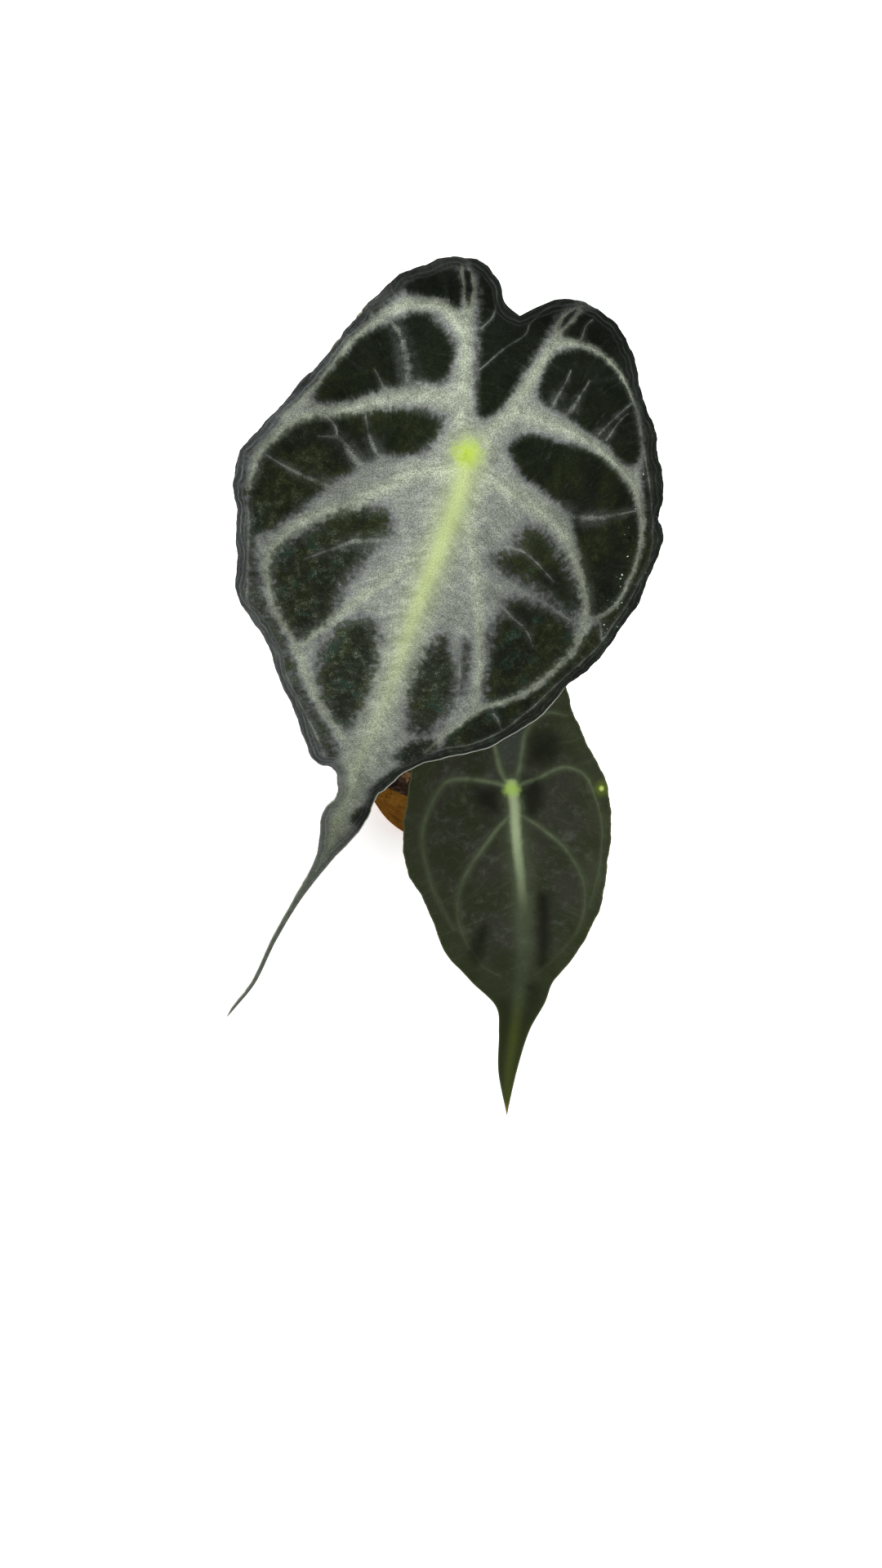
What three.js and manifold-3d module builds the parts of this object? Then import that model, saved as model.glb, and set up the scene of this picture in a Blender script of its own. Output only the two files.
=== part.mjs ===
// Potted venom alocasia: a big and a small peltate leaf on their stalks, which rise from a short
// rhizome in a clay pot full of bark mix. Millimetres, +Z up. The origin is the centre of the
// pot's flat base, and both blades lean towards -Y with their drawn-out tips hanging down.
import * as THREE from "three";
import { mergeVertices } from "three/addons/utils/BufferGeometryUtils.js";
import Module from "manifold-3d";

const wasm = await Module();
wasm.setup();

// Driving dimensions
const GAP = 0.3; // between a piece and the neighbour that it rests on
const POT_HEIGHT = 62;
const POT_RIM_RADIUS = 36;
const POT_BASE_RADIUS = 24;
const POT_WALL = 3.6;
const POT_FLOOR = 5;
const POT_EDGE = 1.6; // rounding of the pot's rim and base
const POT_SEGMENTS = 46;
const COLLAR_HEIGHT = 12;
const COLLAR_STEP = 1.8; // how far the collar stands out of the wall
const COLLAR_SLOPE = 1; // height of the slope under the collar
const DRAIN_HOLES = 4;
const DRAIN_HOLE_RADIUS = 2.6;
const DRAIN_HOLE_PLACE = 12; // from the pot's axis
const SOIL_TOP = 53; // mean height of the mix
const SOIL_BUMP = 0.9;
const SOIL_SEGMENTS = 32;
const SOIL_RINGS = 7;
const CHIP_COUNT = 20;
const CHIP_SIZE = new THREE.Vector3(3.4, 2.1, 1.1); // half lengths of a common chip
const CHIP_SINK = 0.65; // how deep a chip's lower half lies in the mix
const GOLDEN_ANGLE = Math.PI * (3 - Math.sqrt(5)); // spreads the chips evenly
const STALK_FOOT = 46; // height at which the stalks stand on the rhizome
const RHIZOME_RADIUS = 10.5;
const RHIZOME_DEPTH = 24;
const RHIZOME_RINGS = 6; // leaf scars up its side
const ROOT_COUNT = 8;
const ROOT_RADIUS = 1.7;
const ROOT_TIP_RADIUS = 0.9;
const ROOT_REACH = 15.5; // from the rhizome's middle
const ROOT_END = 11; // height of the root tips over the table
const SHEATH_WALL = 0.7;
const SHEATH_HEIGHT = 34;
const SHEATH_HALF_OPEN = 0.72 * Math.PI; // it wraps this far round to each side
const SHEATH_FLARE = 5; // how far its point leans out
const BLADE_THICKNESS = 0.8;
const ROWS_SPLIT = 3; // stations between two rows of a blade's outline
const RUFFLE_START = 0.7; // share of the way to the margin where the ruffle starts
const RIB_SINK = 0.1; // how far a rib's crest stands into the blade

// The places where the two stalks stand, seen from above
const LARGE_FOOT = new THREE.Vector2(1.5, 2.5);
const SMALL_FOOT = new THREE.Vector2(8.5, -6.5);
const RHIZOME_CENTRE = new THREE.Vector2(4.6, -1.6);

// A blade is outlined in its own plane: u runs across it to the right, v down the midrib from the
// stalk. Each row is [midrib u, v, left margin u, v, right margin u, v], from the notch between
// the lobes, round both lobes and down both sides to the tip.
const LARGE = {
  attachment: new THREE.Vector3(6.6, 11.3, 202.2),
  incline: 44, // degrees from level at the stalk
  turn: -17, // degrees that the midrib leans in the blade's plane
  bow: [0.105, -0.0012], // rise per mm along v, and its change
  dome: 0.0032, // fall to the sides, per mm squared from the midrib
  cells: 6, // from the midrib to each margin
  ripple: 1, // height of the margin's ruffle
  rippleRows: [2, 22], // the rows of the outline between which it ruffles
  hubRadius: 2.7, // the thickened place that the stalk meets
  hubDrop: 2.8,
  footRadius: 4.2, // of the stalk where it sheathes the rhizome
  stalkRadius: 2,
  bends: [
    [1, 6, 90],
    [1.5, 14, 145],
    [4.5, 19.5, 184],
  ],
  rows: [
    [2.5, -36, 2.5, -36, 2.5, -36],
    [2.2, -34.5, -2, -38, 7, -40],
    [2, -32, -5, -42.5, 12, -43],
    [1.7, -29, -11, -45.5, 20, -43],
    [1.5, -25.5, -19.5, -43.5, 28.5, -39],
    [1.2, -21.5, -27, -38, 34.5, -32],
    [0.9, -17.5, -32.5, -30.5, 38.5, -25],
    [0.6, -13.5, -36.5, -22, 44, -18.5],
    [0.3, -9.5, -40, -13.5, 47.5, -11.5],
    [0, -5, -45, -2.5, 51.5, -4.5],
    [0, 0, -50.5, 8.5, 53, 3.5],
    [0, 5, -54.5, 17.5, 56, 9],
    [0, 11, -54.5, 26, 56, 17.5],
    [0, 17.5, -51.5, 34, 55.5, 26],
    [0, 25, -48.5, 44, 53, 36.5],
    [0, 33, -45.5, 55, 49, 46],
    [-0.2, 41, -37.5, 61.5, 45, 53.5],
    [-0.4, 50, -30, 71, 38.5, 65.5],
    [-0.7, 60, -22.5, 81, 29.5, 75.5],
    [-1, 71, -15.5, 91, 17, 82.5],
    [-1.3, 83, -8.5, 93.5, 8, 92],
    [-1.6, 94, -5.5, 100, 5, 98],
    [-2.5, 106, -7.5, 108.5, 4, 108.5],
    [-3.4, 121.5, -5.8, 122, -1.1, 121],
    [-7, 137.5, -8, 137.8, -6, 137.2],
    [-9.2, 154, -9.9, 154.1, -8.5, 153.9],
    [-10.7, 171, -11.3, 171.2, -10.1, 170.8],
    [-14.8, 187, -14.8, 187, -14.8, 187],
  ],
  // Ribs under the blade: radius at the stalk, radius at the end, then points [u, v]
  ribs: [
    [1.3, 0.5, [0, -2], [1, 15], [0, 40], [-1, 65], [-1.5, 85], [-2.2, 104]],
    [1, 0.5, [0, 0], [-4.3, -10], [-8, -25], [-10, -33]],
    [1, 0.5, [0, 0], [5, -8.3], [9, -18], [12.5, -32]],
    [0.8, 0.5, [-5.5, -12], [-17, -10], [-30, -2.5], [-39, 2.5]],
    [0.8, 0.5, [0, 3], [-12.5, 10], [-24, 20.5], [-33, 28]],
    [0.8, 0.5, [0, 18], [-8, 33], [-20, 51]],
    [0.8, 0.5, [7.5, -12.5], [18, -13], [30, -10.5], [40, -5.5]],
    [0.8, 0.5, [1, 3], [17.5, 7.5], [29, 12], [37, 21]],
    [0.8, 0.5, [1.5, 12], [12.5, 32.5], [19.5, 52]],
  ],
};

const SMALL = {
  attachment: new THREE.Vector3(20.2, -40.7, 98.2),
  incline: 38,
  turn: 0,
  bow: [0.1, -0.0014],
  dome: 0.0045,
  cells: 4,
  ripple: 0.7,
  rippleRows: [2, 16],
  hubRadius: 2.1,
  hubDrop: 2.4,
  footRadius: 3.3,
  stalkRadius: 1.6,
  bends: [
    [10.5, -11, 69],
    [15, -24, 83],
  ],
  rows: [
    [1, -26, 1, -26, 1, -26],
    [1, -24.5, -2.5, -29.5, 3.5, -29],
    [1, -22, -6.5, -32.5, 7, -32.5],
    [0.8, -19, -13, -33, 14.5, -30.5],
    [0.5, -16, -19, -30, 17, -23],
    [0.3, -12, -25, -22.5, 20, -16],
    [0.2, -8, -28, -12.5, 23.5, -9],
    [0, -4, -29, -2.5, 27, -2],
    [0.3, 1, -30, 5, 28.5, 5],
    [1, 6.5, -31, 12, 29, 12],
    [1.7, 12.5, -31, 20, 28.5, 20.5],
    [2.2, 19, -29.5, 27.5, 27.5, 29],
    [2.8, 26, -25.5, 34, 26, 37.5],
    [3.2, 33.5, -22, 43, 22.5, 45],
    [3.5, 42, -18, 52, 18.5, 52.5],
    [3.5, 51, -11.5, 59.5, 13, 59],
    [3, 61, -4, 67.5, 10.5, 66.5],
    [1.7, 73, -3, 76.5, 6, 76],
    [0.2, 88, -3, 90, 2.5, 90],
    [-0.2, 104.5, -0.2, 104.5, -0.2, 104.5],
  ],
  ribs: [
    [1, 0.5, [0, -1], [1.6, 12], [3, 30], [3.5, 50], [2.2, 68]],
    [0.75, 0.45, [0, 0], [-3.3, -6], [-6, -18], [-8, -26]],
    [0.75, 0.45, [0, 0], [2.5, -6.7], [4.3, -16.8], [8, -21]],
    [0.65, 0.45, [0, 0], [-10, -2.8], [-18.5, -1], [-22, 2]],
    [0.65, 0.45, [0.5, 5], [-5.3, 13.8], [-13, 26]],
    [0.65, 0.45, [0, 0], [9, -4], [17, -5.5]],
    [0.65, 0.45, [1, 5], [9, 11.6], [18, 21]],
  ],
};

// A closed geometry as a solid for joining and cutting.
function solidOf(geometry) {
  const bare = geometry.clone();
  bare.deleteAttribute("normal");
  bare.deleteAttribute("uv");
  const merged = mergeVertices(bare, 1e-4);
  const corners = merged.index.array;
  const kept = [];
  for (let i = 0; i < corners.length; i += 3) {
    const [a, b, c] = [corners[i], corners[i + 1], corners[i + 2]];
    if (a !== b && b !== c && c !== a) kept.push(a, b, c);
  }
  const vertProperties = new Float32Array(merged.getAttribute("position").array);
  const triVerts = new Uint32Array(kept);
  return new wasm.Manifold(new wasm.Mesh({ numProp: 3, vertProperties, triVerts }));
}

// A solid back as a geometry with flat-shaded normals.
function geometryOf(solid) {
  const mesh = solid.getMesh();
  const geometry = new THREE.BufferGeometry();
  geometry.setAttribute("position", new THREE.BufferAttribute(mesh.vertProperties, 3));
  geometry.setIndex(new THREE.BufferAttribute(mesh.triVerts, 1));
  geometry.computeVertexNormals();
  return geometry;
}

function namedMesh(name, solid, color, roughness) {
  const material = new THREE.MeshStandardMaterial({ color, roughness, metalness: 0 });
  const mesh = new THREE.Mesh(geometryOf(solid), material);
  mesh.name = name;
  return mesh;
}

// A solid of revolution about Z from an outline of [radius, height] points.
function turned(outline, segments) {
  const points = outline.map(([radius, height]) => new THREE.Vector2(radius, height));
  return new THREE.LatheGeometry(points, segments).rotateX(Math.PI / 2);
}

// A round rod along Z as a solid, for drilling holes.
function uprightRod(radius, bottom, top, x, y) {
  const rod = new THREE.CylinderGeometry(radius, radius, top - bottom, 16);
  rod.rotateX(Math.PI / 2);
  rod.translate(x, y, (bottom + top) / 2);
  return solidOf(rod);
}

// Points on part of a circle, for the rounded edges of an outline.
function rounding(centreRadius, centreHeight, size, fromDegrees, toDegrees, steps) {
  return Array.from({ length: steps + 1 }, (_, i) => {
    const angle = THREE.MathUtils.degToRad(fromDegrees + ((toDegrees - fromDegrees) * i) / steps);
    return [centreRadius + size * Math.cos(angle), centreHeight + size * Math.sin(angle)];
  });
}

// A round stalk, rib or root along a curve, with its radius given as a function of 0 to 1.
function stalk(curve, radiusAt, steps, sides) {
  const frames = curve.computeFrenetFrames(steps, false);
  const positions = [];
  for (let i = 0; i <= steps; i++) {
    const centre = curve.getPointAt(i / steps);
    const radius = radiusAt(i / steps);
    for (let k = 0; k < sides; k++) {
      const angle = (2 * Math.PI * k) / sides;
      const spoke = frames.normals[i].clone().multiplyScalar(Math.cos(angle) * radius);
      spoke.addScaledVector(frames.binormals[i], Math.sin(angle) * radius);
      positions.push(...centre.clone().add(spoke).toArray());
    }
  }
  const foot = positions.length / 3;
  positions.push(...curve.getPointAt(0).toArray(), ...curve.getPointAt(1).toArray());
  const index = [];
  for (let k = 0; k < sides; k++) {
    const next = (k + 1) % sides;
    for (let i = 0; i < steps; i++) {
      const [a, b] = [i * sides + k, i * sides + next];
      index.push(a, b, b + sides, a, b + sides, a + sides);
    }
    index.push(foot, next, k, foot + 1, steps * sides + k, steps * sides + next);
  }
  const geometry = new THREE.BufferGeometry();
  geometry.setAttribute("position", new THREE.Float32BufferAttribute(positions, 3));
  geometry.setIndex(index);
  return geometry;
}

// Clay pot: tapered wall, a collar that stands out below the rim, and drain holes in the floor.
const wallRadius = (height) =>
  THREE.MathUtils.mapLinear(height, 0, POT_HEIGHT, POT_BASE_RADIUS, POT_RIM_RADIUS - COLLAR_STEP);
const insideRadius = (height) => wallRadius(height) - POT_WALL;

function makePot() {
  const collarFoot = POT_HEIGHT - COLLAR_HEIGHT;
  const rimMiddle = POT_HEIGHT - POT_EDGE;
  const floorMiddle = POT_FLOOR + POT_EDGE;
  const outline = [
    [0, 0],
    [POT_BASE_RADIUS - POT_EDGE, 0],
    ...rounding(POT_BASE_RADIUS - POT_EDGE, POT_EDGE, POT_EDGE, -60, 0, 2),
    [wallRadius(collarFoot), collarFoot],
    [wallRadius(collarFoot) + COLLAR_STEP, collarFoot + COLLAR_SLOPE],
    ...rounding(POT_RIM_RADIUS - POT_EDGE, rimMiddle, POT_EDGE, 0, 90, 3),
    ...rounding(insideRadius(POT_HEIGHT) + POT_EDGE + 1, rimMiddle, POT_EDGE, 90, 180, 3),
    [insideRadius(collarFoot), collarFoot],
    ...rounding(insideRadius(POT_FLOOR) - POT_EDGE, floorMiddle, POT_EDGE, 0, -90, 2),
    [0, POT_FLOOR],
  ];
  let pot = solidOf(turned(outline, POT_SEGMENTS));
  for (let k = 0; k < DRAIN_HOLES; k++) {
    const angle = (2 * Math.PI * (k + 0.5)) / DRAIN_HOLES;
    const place = [DRAIN_HOLE_PLACE * Math.cos(angle), DRAIN_HOLE_PLACE * Math.sin(angle)];
    pot = pot.subtract(uprightRod(DRAIN_HOLE_RADIUS, -POT_FLOOR, 2 * POT_FLOOR, ...place));
  }
  return pot;
}

// Rhizome with thick roots. grow swells it, for the room that it takes in the soil.
function makeRootstock(grow) {
  const top = STALK_FOOT - GAP;
  const outline = [[0, top - RHIZOME_DEPTH - grow]];
  for (let i = 0; i <= RHIZOME_RINGS; i++) {
    const height = i / RHIZOME_RINGS;
    const swell = 0.35 + 0.65 * Math.sin(Math.PI * (0.12 + 0.72 * height));
    const scar = i % 2 ? 0.5 : 0;
    const level = top - RHIZOME_DEPTH * (1 - height) + (i === RHIZOME_RINGS ? grow : 0);
    outline.push([RHIZOME_RADIUS * swell + scar + grow, level]);
  }
  outline.push([0, top + grow]);
  const body = turned(outline, 20);
  body.translate(RHIZOME_CENTRE.x, RHIZOME_CENTRE.y, 0);
  let rootstock = solidOf(body);
  for (let k = 0; k < ROOT_COUNT; k++) {
    const angle = (2 * Math.PI * k) / ROOT_COUNT + 0.35 * Math.sin(3 * k);
    const reach = ROOT_REACH + 1.5 * Math.sin(5 * k);
    const start = top - 7 - 2.4 * ((3 * k) % 4);
    // A place on the root, which bends towards the pot's axis the farther out it lies
    const place = (radius, height, swing) => {
      const centre = RHIZOME_CENTRE.clone().multiplyScalar(1 - radius / 20);
      const x = centre.x + radius * Math.cos(angle + swing);
      const y = centre.y + radius * Math.sin(angle + swing);
      return new THREE.Vector3(x, y, height);
    };
    const path = new THREE.CatmullRomCurve3([
      place(4, start, 0),
      place(11, start - 4, 0.1),
      place(reach, start - 12, 0.3),
      place(reach + 1, ROOT_END + 2 * Math.cos(4 * k), 0.55),
    ]);
    const radiusAt = (t) => THREE.MathUtils.lerp(ROOT_RADIUS, ROOT_TIP_RADIUS, t) + grow;
    rootstock = rootstock.add(solidOf(stalk(path, radiusAt, 8, 6)));
  }
  return rootstock;
}

// The bark and peat mix: fills the pot, lumpy on top, with chips lying on it.
const bumpAt = (x, y) =>
  SOIL_BUMP * (Math.sin(0.55 * x + 1) * Math.cos(0.5 * y) + 0.6 * Math.sin(0.9 * y + 0.35 * x));

function makeSoil() {
  const bottom = POT_FLOOR + GAP;
  const rim = insideRadius(SOIL_TOP) - GAP;
  const outline = [
    [0, bottom],
    [insideRadius(bottom) - GAP - POT_EDGE, bottom],
    [insideRadius(bottom + POT_EDGE) - GAP, bottom + POT_EDGE],
  ];
  for (let i = 0; i <= SOIL_RINGS; i++) {
    outline.push([rim * (1 - i / SOIL_RINGS), SOIL_TOP]);
  }
  const body = turned(outline, SOIL_SEGMENTS);
  const place = body.getAttribute("position");
  for (let i = 0; i < place.count; i++) {
    const [x, y, z] = [place.getX(i), place.getY(i), place.getZ(i)];
    const inner = 1 - THREE.MathUtils.smoothstep(Math.hypot(x, y), 0.88 * rim, rim);
    if (z > SOIL_TOP - 0.01) place.setZ(i, z + inner * bumpAt(x, y));
  }
  let soil = solidOf(body);
  for (let k = 0; k < CHIP_COUNT; k++) {
    const radius = (rim - 5) * Math.sqrt((k + 0.5) / CHIP_COUNT);
    const angle = GOLDEN_ANGLE * k;
    const spot = new THREE.Vector2(radius * Math.cos(angle), radius * Math.sin(angle));
    const clear = Math.min(spot.distanceTo(LARGE_FOOT), spot.distanceTo(SMALL_FOOT));
    if (clear < RHIZOME_RADIUS - 1) continue;
    const chip = new THREE.DodecahedronGeometry(1, 0);
    chip.scale(CHIP_SIZE.x + Math.sin(7 * k), CHIP_SIZE.y + 0.6 * Math.sin(3 * k), CHIP_SIZE.z);
    chip.rotateX(0.35 * Math.sin(2 * k));
    chip.rotateY(0.4 * Math.cos(5 * k));
    chip.rotateZ(1.7 * k);
    chip.translate(spot.x, spot.y, SOIL_TOP + bumpAt(spot.x, spot.y) + CHIP_SIZE.z - CHIP_SINK);
    soil = soil.add(solidOf(chip));
  }
  const holes = [
    [LARGE_FOOT, LARGE.footRadius + 3 * GAP + SHEATH_WALL],
    [SMALL_FOOT, SMALL.footRadius + GAP],
  ];
  for (const [foot, radius] of holes) {
    soil = soil.subtract(uprightRod(radius, STALK_FOOT - GAP, 2 * SOIL_TOP, foot.x, foot.y));
  }
  return soil.subtract(makeRootstock(GAP));
}

// How far across the midrib lies at v.
function midribAt(blade, v) {
  const { rows } = blade;
  let i = 0;
  while (i < rows.length - 2 && rows[i + 1][1] < v) i++;
  return THREE.MathUtils.mapLinear(v, rows[i][1], rows[i + 1][1], rows[i][0], rows[i + 1][0]);
}

// The place on a blade's middle surface at [u, v], in the blade's own frame: x to the right,
// y towards the lobes and z out of the upper face.
function onBlade(blade, u, v, lift) {
  const [slope, bend] = blade.bow;
  const height = slope * v + bend * v * v - blade.dome * (u - midribAt(blade, v)) ** 2;
  return new THREE.Vector3(u, -v, height + lift);
}

// The margin ruffles up and down, on the rows where the blade is broad.
function rippleAt(blade, row, side, reach) {
  const [first, last] = blade.rippleRows;
  const along =
    THREE.MathUtils.smoothstep(row, first, first + 2) *
    (1 - THREE.MathUtils.smoothstep(row, last - 2, last));
  const edge = THREE.MathUtils.smoothstep(reach, RUFFLE_START, 1);
  const wave = Math.sin(3.4 * row + side) + 0.5 * Math.sin(2.1 * row + 2 * side);
  return blade.ripple * along * edge * wave;
}

// The blade without its ribs: both faces are split into triangles alike.
function bladeSheet(blade) {
  const { rows, cells } = blade;
  const curve = (at) => new THREE.SplineCurve(rows.map((r) => new THREE.Vector2(r[at], r[at + 1])));
  const [midrib, left, right] = [curve(0), curve(2), curve(4)];
  const lastRow = rows.length - 1;
  const stations = lastRow * ROWS_SPLIT;
  const positions = [];
  const grid = [];
  for (let i = 0; i <= stations; i++) {
    const part = i / stations;
    const isPoint = i === 0 || i === stations;
    const foot = midrib.getPoint(part);
    const line = [];
    for (let j = -cells; j <= cells; j++) {
      if (isPoint && j > -cells) {
        line.push(line[0]);
        continue;
      }
      const reach = Math.abs(j) / cells;
      const margin = (j < 0 ? left : right).getPoint(part);
      const spot = foot.clone().lerp(margin, isPoint ? 0 : reach);
      const lift = rippleAt(blade, part * lastRow, Math.sign(j), reach);
      line.push(positions.length / 3);
      positions.push(...onBlade(blade, spot.x, spot.y, lift).toArray());
    }
    grid.push(line);
  }
  const face = [];
  const add = (a, b, c) => {
    if (a !== b && b !== c && c !== a) face.push(a, b, c);
  };
  for (let i = 0; i < stations; i++) {
    for (let j = 0; j < 2 * cells; j++) {
      const [a, b, c, d] = [grid[i][j], grid[i + 1][j], grid[i + 1][j + 1], grid[i][j + 1]];
      add(a, b, c);
      add(a, c, d);
    }
  }
  const middle = new THREE.BufferGeometry();
  middle.setAttribute("position", new THREE.Float32BufferAttribute(positions, 3));
  middle.setIndex(face);
  middle.computeVertexNormals();
  const normal = middle.getAttribute("normal").array;
  const count = positions.length / 3;
  const shifted = (by) => positions.map((value, i) => value + by * normal[i]);
  const both = [...shifted(BLADE_THICKNESS / 2), ...shifted(-BLADE_THICKNESS / 2)];
  const index = [...face];
  for (let i = 0; i < face.length; i += 3) {
    index.push(face[i] + count, face[i + 2] + count, face[i + 1] + count);
  }
  const edge = (a, b) => {
    if (a !== b) index.push(a, a + count, b, b, a + count, b + count);
  };
  for (let i = 0; i < stations; i++) {
    edge(grid[i][0], grid[i + 1][0]);
    edge(grid[i + 1][2 * cells], grid[i][2 * cells]);
  }
  const sheet = new THREE.BufferGeometry();
  sheet.setAttribute("position", new THREE.Float32BufferAttribute(both, 3));
  sheet.setIndex(index);
  return sheet;
}

// Outward normal of the upper face where the stalk meets the blade, in the blade's own frame.
const hubNormal = (blade) => new THREE.Vector3(0, blade.bow[0], 1).normalize();

// The blade with its ribs and the thickened hub that the stalk meets, all grown as one piece.
function makeBlade(blade) {
  let whole = solidOf(bladeSheet(blade));
  for (const [thick, thin, ...points] of blade.ribs) {
    const radiusAt = (t) => THREE.MathUtils.lerp(thick, thin, t);
    const path = points.map(([u, v], i) => {
      const radius = radiusAt(i / (points.length - 1));
      return onBlade(blade, u, v, RIB_SINK - radius);
    });
    const rib = stalk(new THREE.CatmullRomCurve3(path), radiusAt, 2 * points.length - 2, 5);
    whole = whole.add(solidOf(rib));
  }
  const end = hubNormal(blade).multiplyScalar(-blade.hubDrop);
  const hubLine = new THREE.LineCurve3(new THREE.Vector3(0, 0, 0), end);
  const hub = stalk(hubLine, (t) => blade.hubRadius * (1.25 - 0.25 * t), 2, 14);
  return whole.add(solidOf(hub));
}

function bladeMesh(name, blade) {
  const mesh = namedMesh(name, makeBlade(blade), 0x37422f, 0.6);
  mesh.position.copy(blade.attachment);
  mesh.rotation.set(
    THREE.MathUtils.degToRad(blade.incline),
    0,
    THREE.MathUtils.degToRad(blade.turn),
    "XYZ",
  );
  mesh.updateMatrixWorld(true);
  return mesh;
}

// A stalk from its foot on the rhizome to the hub under its blade, which it meets square: broad
// at the sheathing foot, then slim, and a little thicker again at the hub.
function makePetiole(foot, bladePiece, blade) {
  const { footRadius, stalkRadius, bends } = blade;
  const under = (depth) =>
    bladePiece.localToWorld(hubNormal(blade).multiplyScalar(-blade.hubDrop - depth));
  const path = new THREE.CatmullRomCurve3([
    new THREE.Vector3(foot.x, foot.y, STALK_FOOT),
    new THREE.Vector3(foot.x, foot.y, STALK_FOOT + 9),
    ...bends.map((place) => new THREE.Vector3(...place)),
    under(5),
    under(GAP),
  ]);
  const radiusAt = (t) => {
    const slim = THREE.MathUtils.smoothstep(t, 0.02, 0.45);
    return THREE.MathUtils.lerp(footRadius, stalkRadius, slim) + 0.5 * t ** 8;
  };
  return solidOf(stalk(path, radiusAt, 26, 12));
}

// The papery sheath round the big stalk's foot: a thin wall that is open at one side and runs
// out to a point that leans away from the stalk.
function makeCataphyll() {
  const levels = 12;
  const around = 12;
  const facing = Math.atan2(LARGE_FOOT.y - SMALL_FOOT.y, LARGE_FOOT.x - SMALL_FOOT.x);
  const positions = [];
  for (const wall of [0, SHEATH_WALL]) {
    for (let i = 0; i <= levels; i++) {
      const t = i / levels;
      const width = SHEATH_HALF_OPEN * (0.05 + 0.95 * (1 - t ** 3));
      const radius = LARGE.footRadius + GAP + SHEATH_FLARE * t ** 3 + 0.5 * t + wall;
      for (let k = 0; k <= around; k++) {
        const angle = facing + width * ((2 * k) / around - 1);
        const crease = 0.25 * t * Math.sin(9 * angle);
        positions.push(
          LARGE_FOOT.x + (radius + crease) * Math.cos(angle),
          LARGE_FOOT.y + (radius + crease) * Math.sin(angle),
          STALK_FOOT + SHEATH_HEIGHT * t,
        );
      }
    }
  }
  const wide = around + 1;
  const count = wide * (levels + 1);
  const index = [];
  for (let i = 0; i < levels; i++) {
    for (let k = 0; k < around; k++) {
      const [a, b] = [i * wide + k, i * wide + k + 1];
      const [c, d] = [b + wide, a + wide];
      index.push(a, c, b, a, d, c);
      index.push(a + count, b + count, c + count, a + count, c + count, d + count);
    }
  }
  const edge = (a, b) => index.push(a, b, b + count, a, b + count, a + count);
  for (let k = 0; k < around; k++) {
    edge(k, k + 1);
    edge(levels * wide + k + 1, levels * wide + k);
  }
  for (let i = 0; i < levels; i++) {
    edge((i + 1) * wide, i * wide);
    edge(i * wide + around, (i + 1) * wide + around);
  }
  const sheath = new THREE.BufferGeometry();
  sheath.setAttribute("position", new THREE.Float32BufferAttribute(positions, 3));
  sheath.setIndex(index);
  return solidOf(sheath);
}

const largeBlade = bladeMesh("blade_large", LARGE);
const smallBlade = bladeMesh("blade_small", SMALL);
const largePetiole = makePetiole(LARGE_FOOT, largeBlade, LARGE);
const smallPetiole = makePetiole(SMALL_FOOT, smallBlade, SMALL);

const leaves = new THREE.Group();
leaves.add(
  largeBlade,
  smallBlade,
  namedMesh("petiole_large", largePetiole, 0x6f7d3f, 0.5),
  namedMesh("petiole_small", smallPetiole, 0x6f7d3f, 0.5),
  namedMesh("cataphyll", makeCataphyll(), 0x9a6f4a, 0.8),
);

const pottedPlant = new THREE.Group();
pottedPlant.add(
  namedMesh("pot", makePot(), 0x7a5520, 0.45),
  namedMesh("soil", makeSoil(), 0x3a2a1c, 0.95),
  namedMesh("rootstock", makeRootstock(0), 0xc2a878, 0.8),
  leaves,
);

export default pottedPlant;
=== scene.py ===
import math

import bpy
import numpy as np
from mathutils import Matrix, Vector, geometry


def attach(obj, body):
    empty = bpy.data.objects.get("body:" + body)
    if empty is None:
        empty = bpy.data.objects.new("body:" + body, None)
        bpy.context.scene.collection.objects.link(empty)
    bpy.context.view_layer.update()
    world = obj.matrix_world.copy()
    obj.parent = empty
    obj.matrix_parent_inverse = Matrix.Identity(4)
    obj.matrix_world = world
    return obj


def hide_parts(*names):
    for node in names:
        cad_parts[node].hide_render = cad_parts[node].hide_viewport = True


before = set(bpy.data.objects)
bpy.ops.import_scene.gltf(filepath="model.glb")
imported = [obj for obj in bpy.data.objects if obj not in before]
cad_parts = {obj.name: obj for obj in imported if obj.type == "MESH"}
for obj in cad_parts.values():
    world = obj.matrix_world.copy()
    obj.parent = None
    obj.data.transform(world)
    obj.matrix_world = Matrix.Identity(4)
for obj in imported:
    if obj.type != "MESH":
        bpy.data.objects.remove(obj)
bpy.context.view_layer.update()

MM = 0.001

# Pot
# A small clay pot, thrown with a collar below the rim and four drain holes in its foot. It was
# dipped in a caramel-brown glaze that stops above the foot and runs thin over the sharp edges.
POT_HEIGHT = 62
POT_RIM_RADIUS = 36
POT_BASE_RADIUS = 24
POT_WALL = 3.6
POT_FLOOR = 5
POT_EDGE = 1.3
COLLAR_HEIGHT = 12
COLLAR_STEP = 1.8
COLLAR_SLOPE = 1
DRAIN_HOLE_RADIUS = 2.6
DRAIN_HOLE_PLACE = 12
GLAZE_FOOT = 2.4
THROWING_RING = 3.2
CLAY = (0.42, 0.22, 0.11)
CLAY_DARK = (0.3, 0.15, 0.07)
GLAZE_DARK = (0.05, 0.02, 0.0035)
GLAZE_BROWN = (0.1, 0.042, 0.0065)
GLAZE_THIN = (0.18, 0.084, 0.014)


def only(piece):
    """Select one piece alone and make it the active one."""
    bpy.ops.object.select_all(action="DESELECT")
    piece.select_set(True)
    bpy.context.view_layer.objects.active = piece


def started(name, add, **settings):
    """Add a primitive with nothing else selected, and name it."""
    bpy.ops.object.select_all(action="DESELECT")
    add(**settings)
    piece = bpy.context.active_object
    piece.name = piece.data.name = name
    return piece


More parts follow.
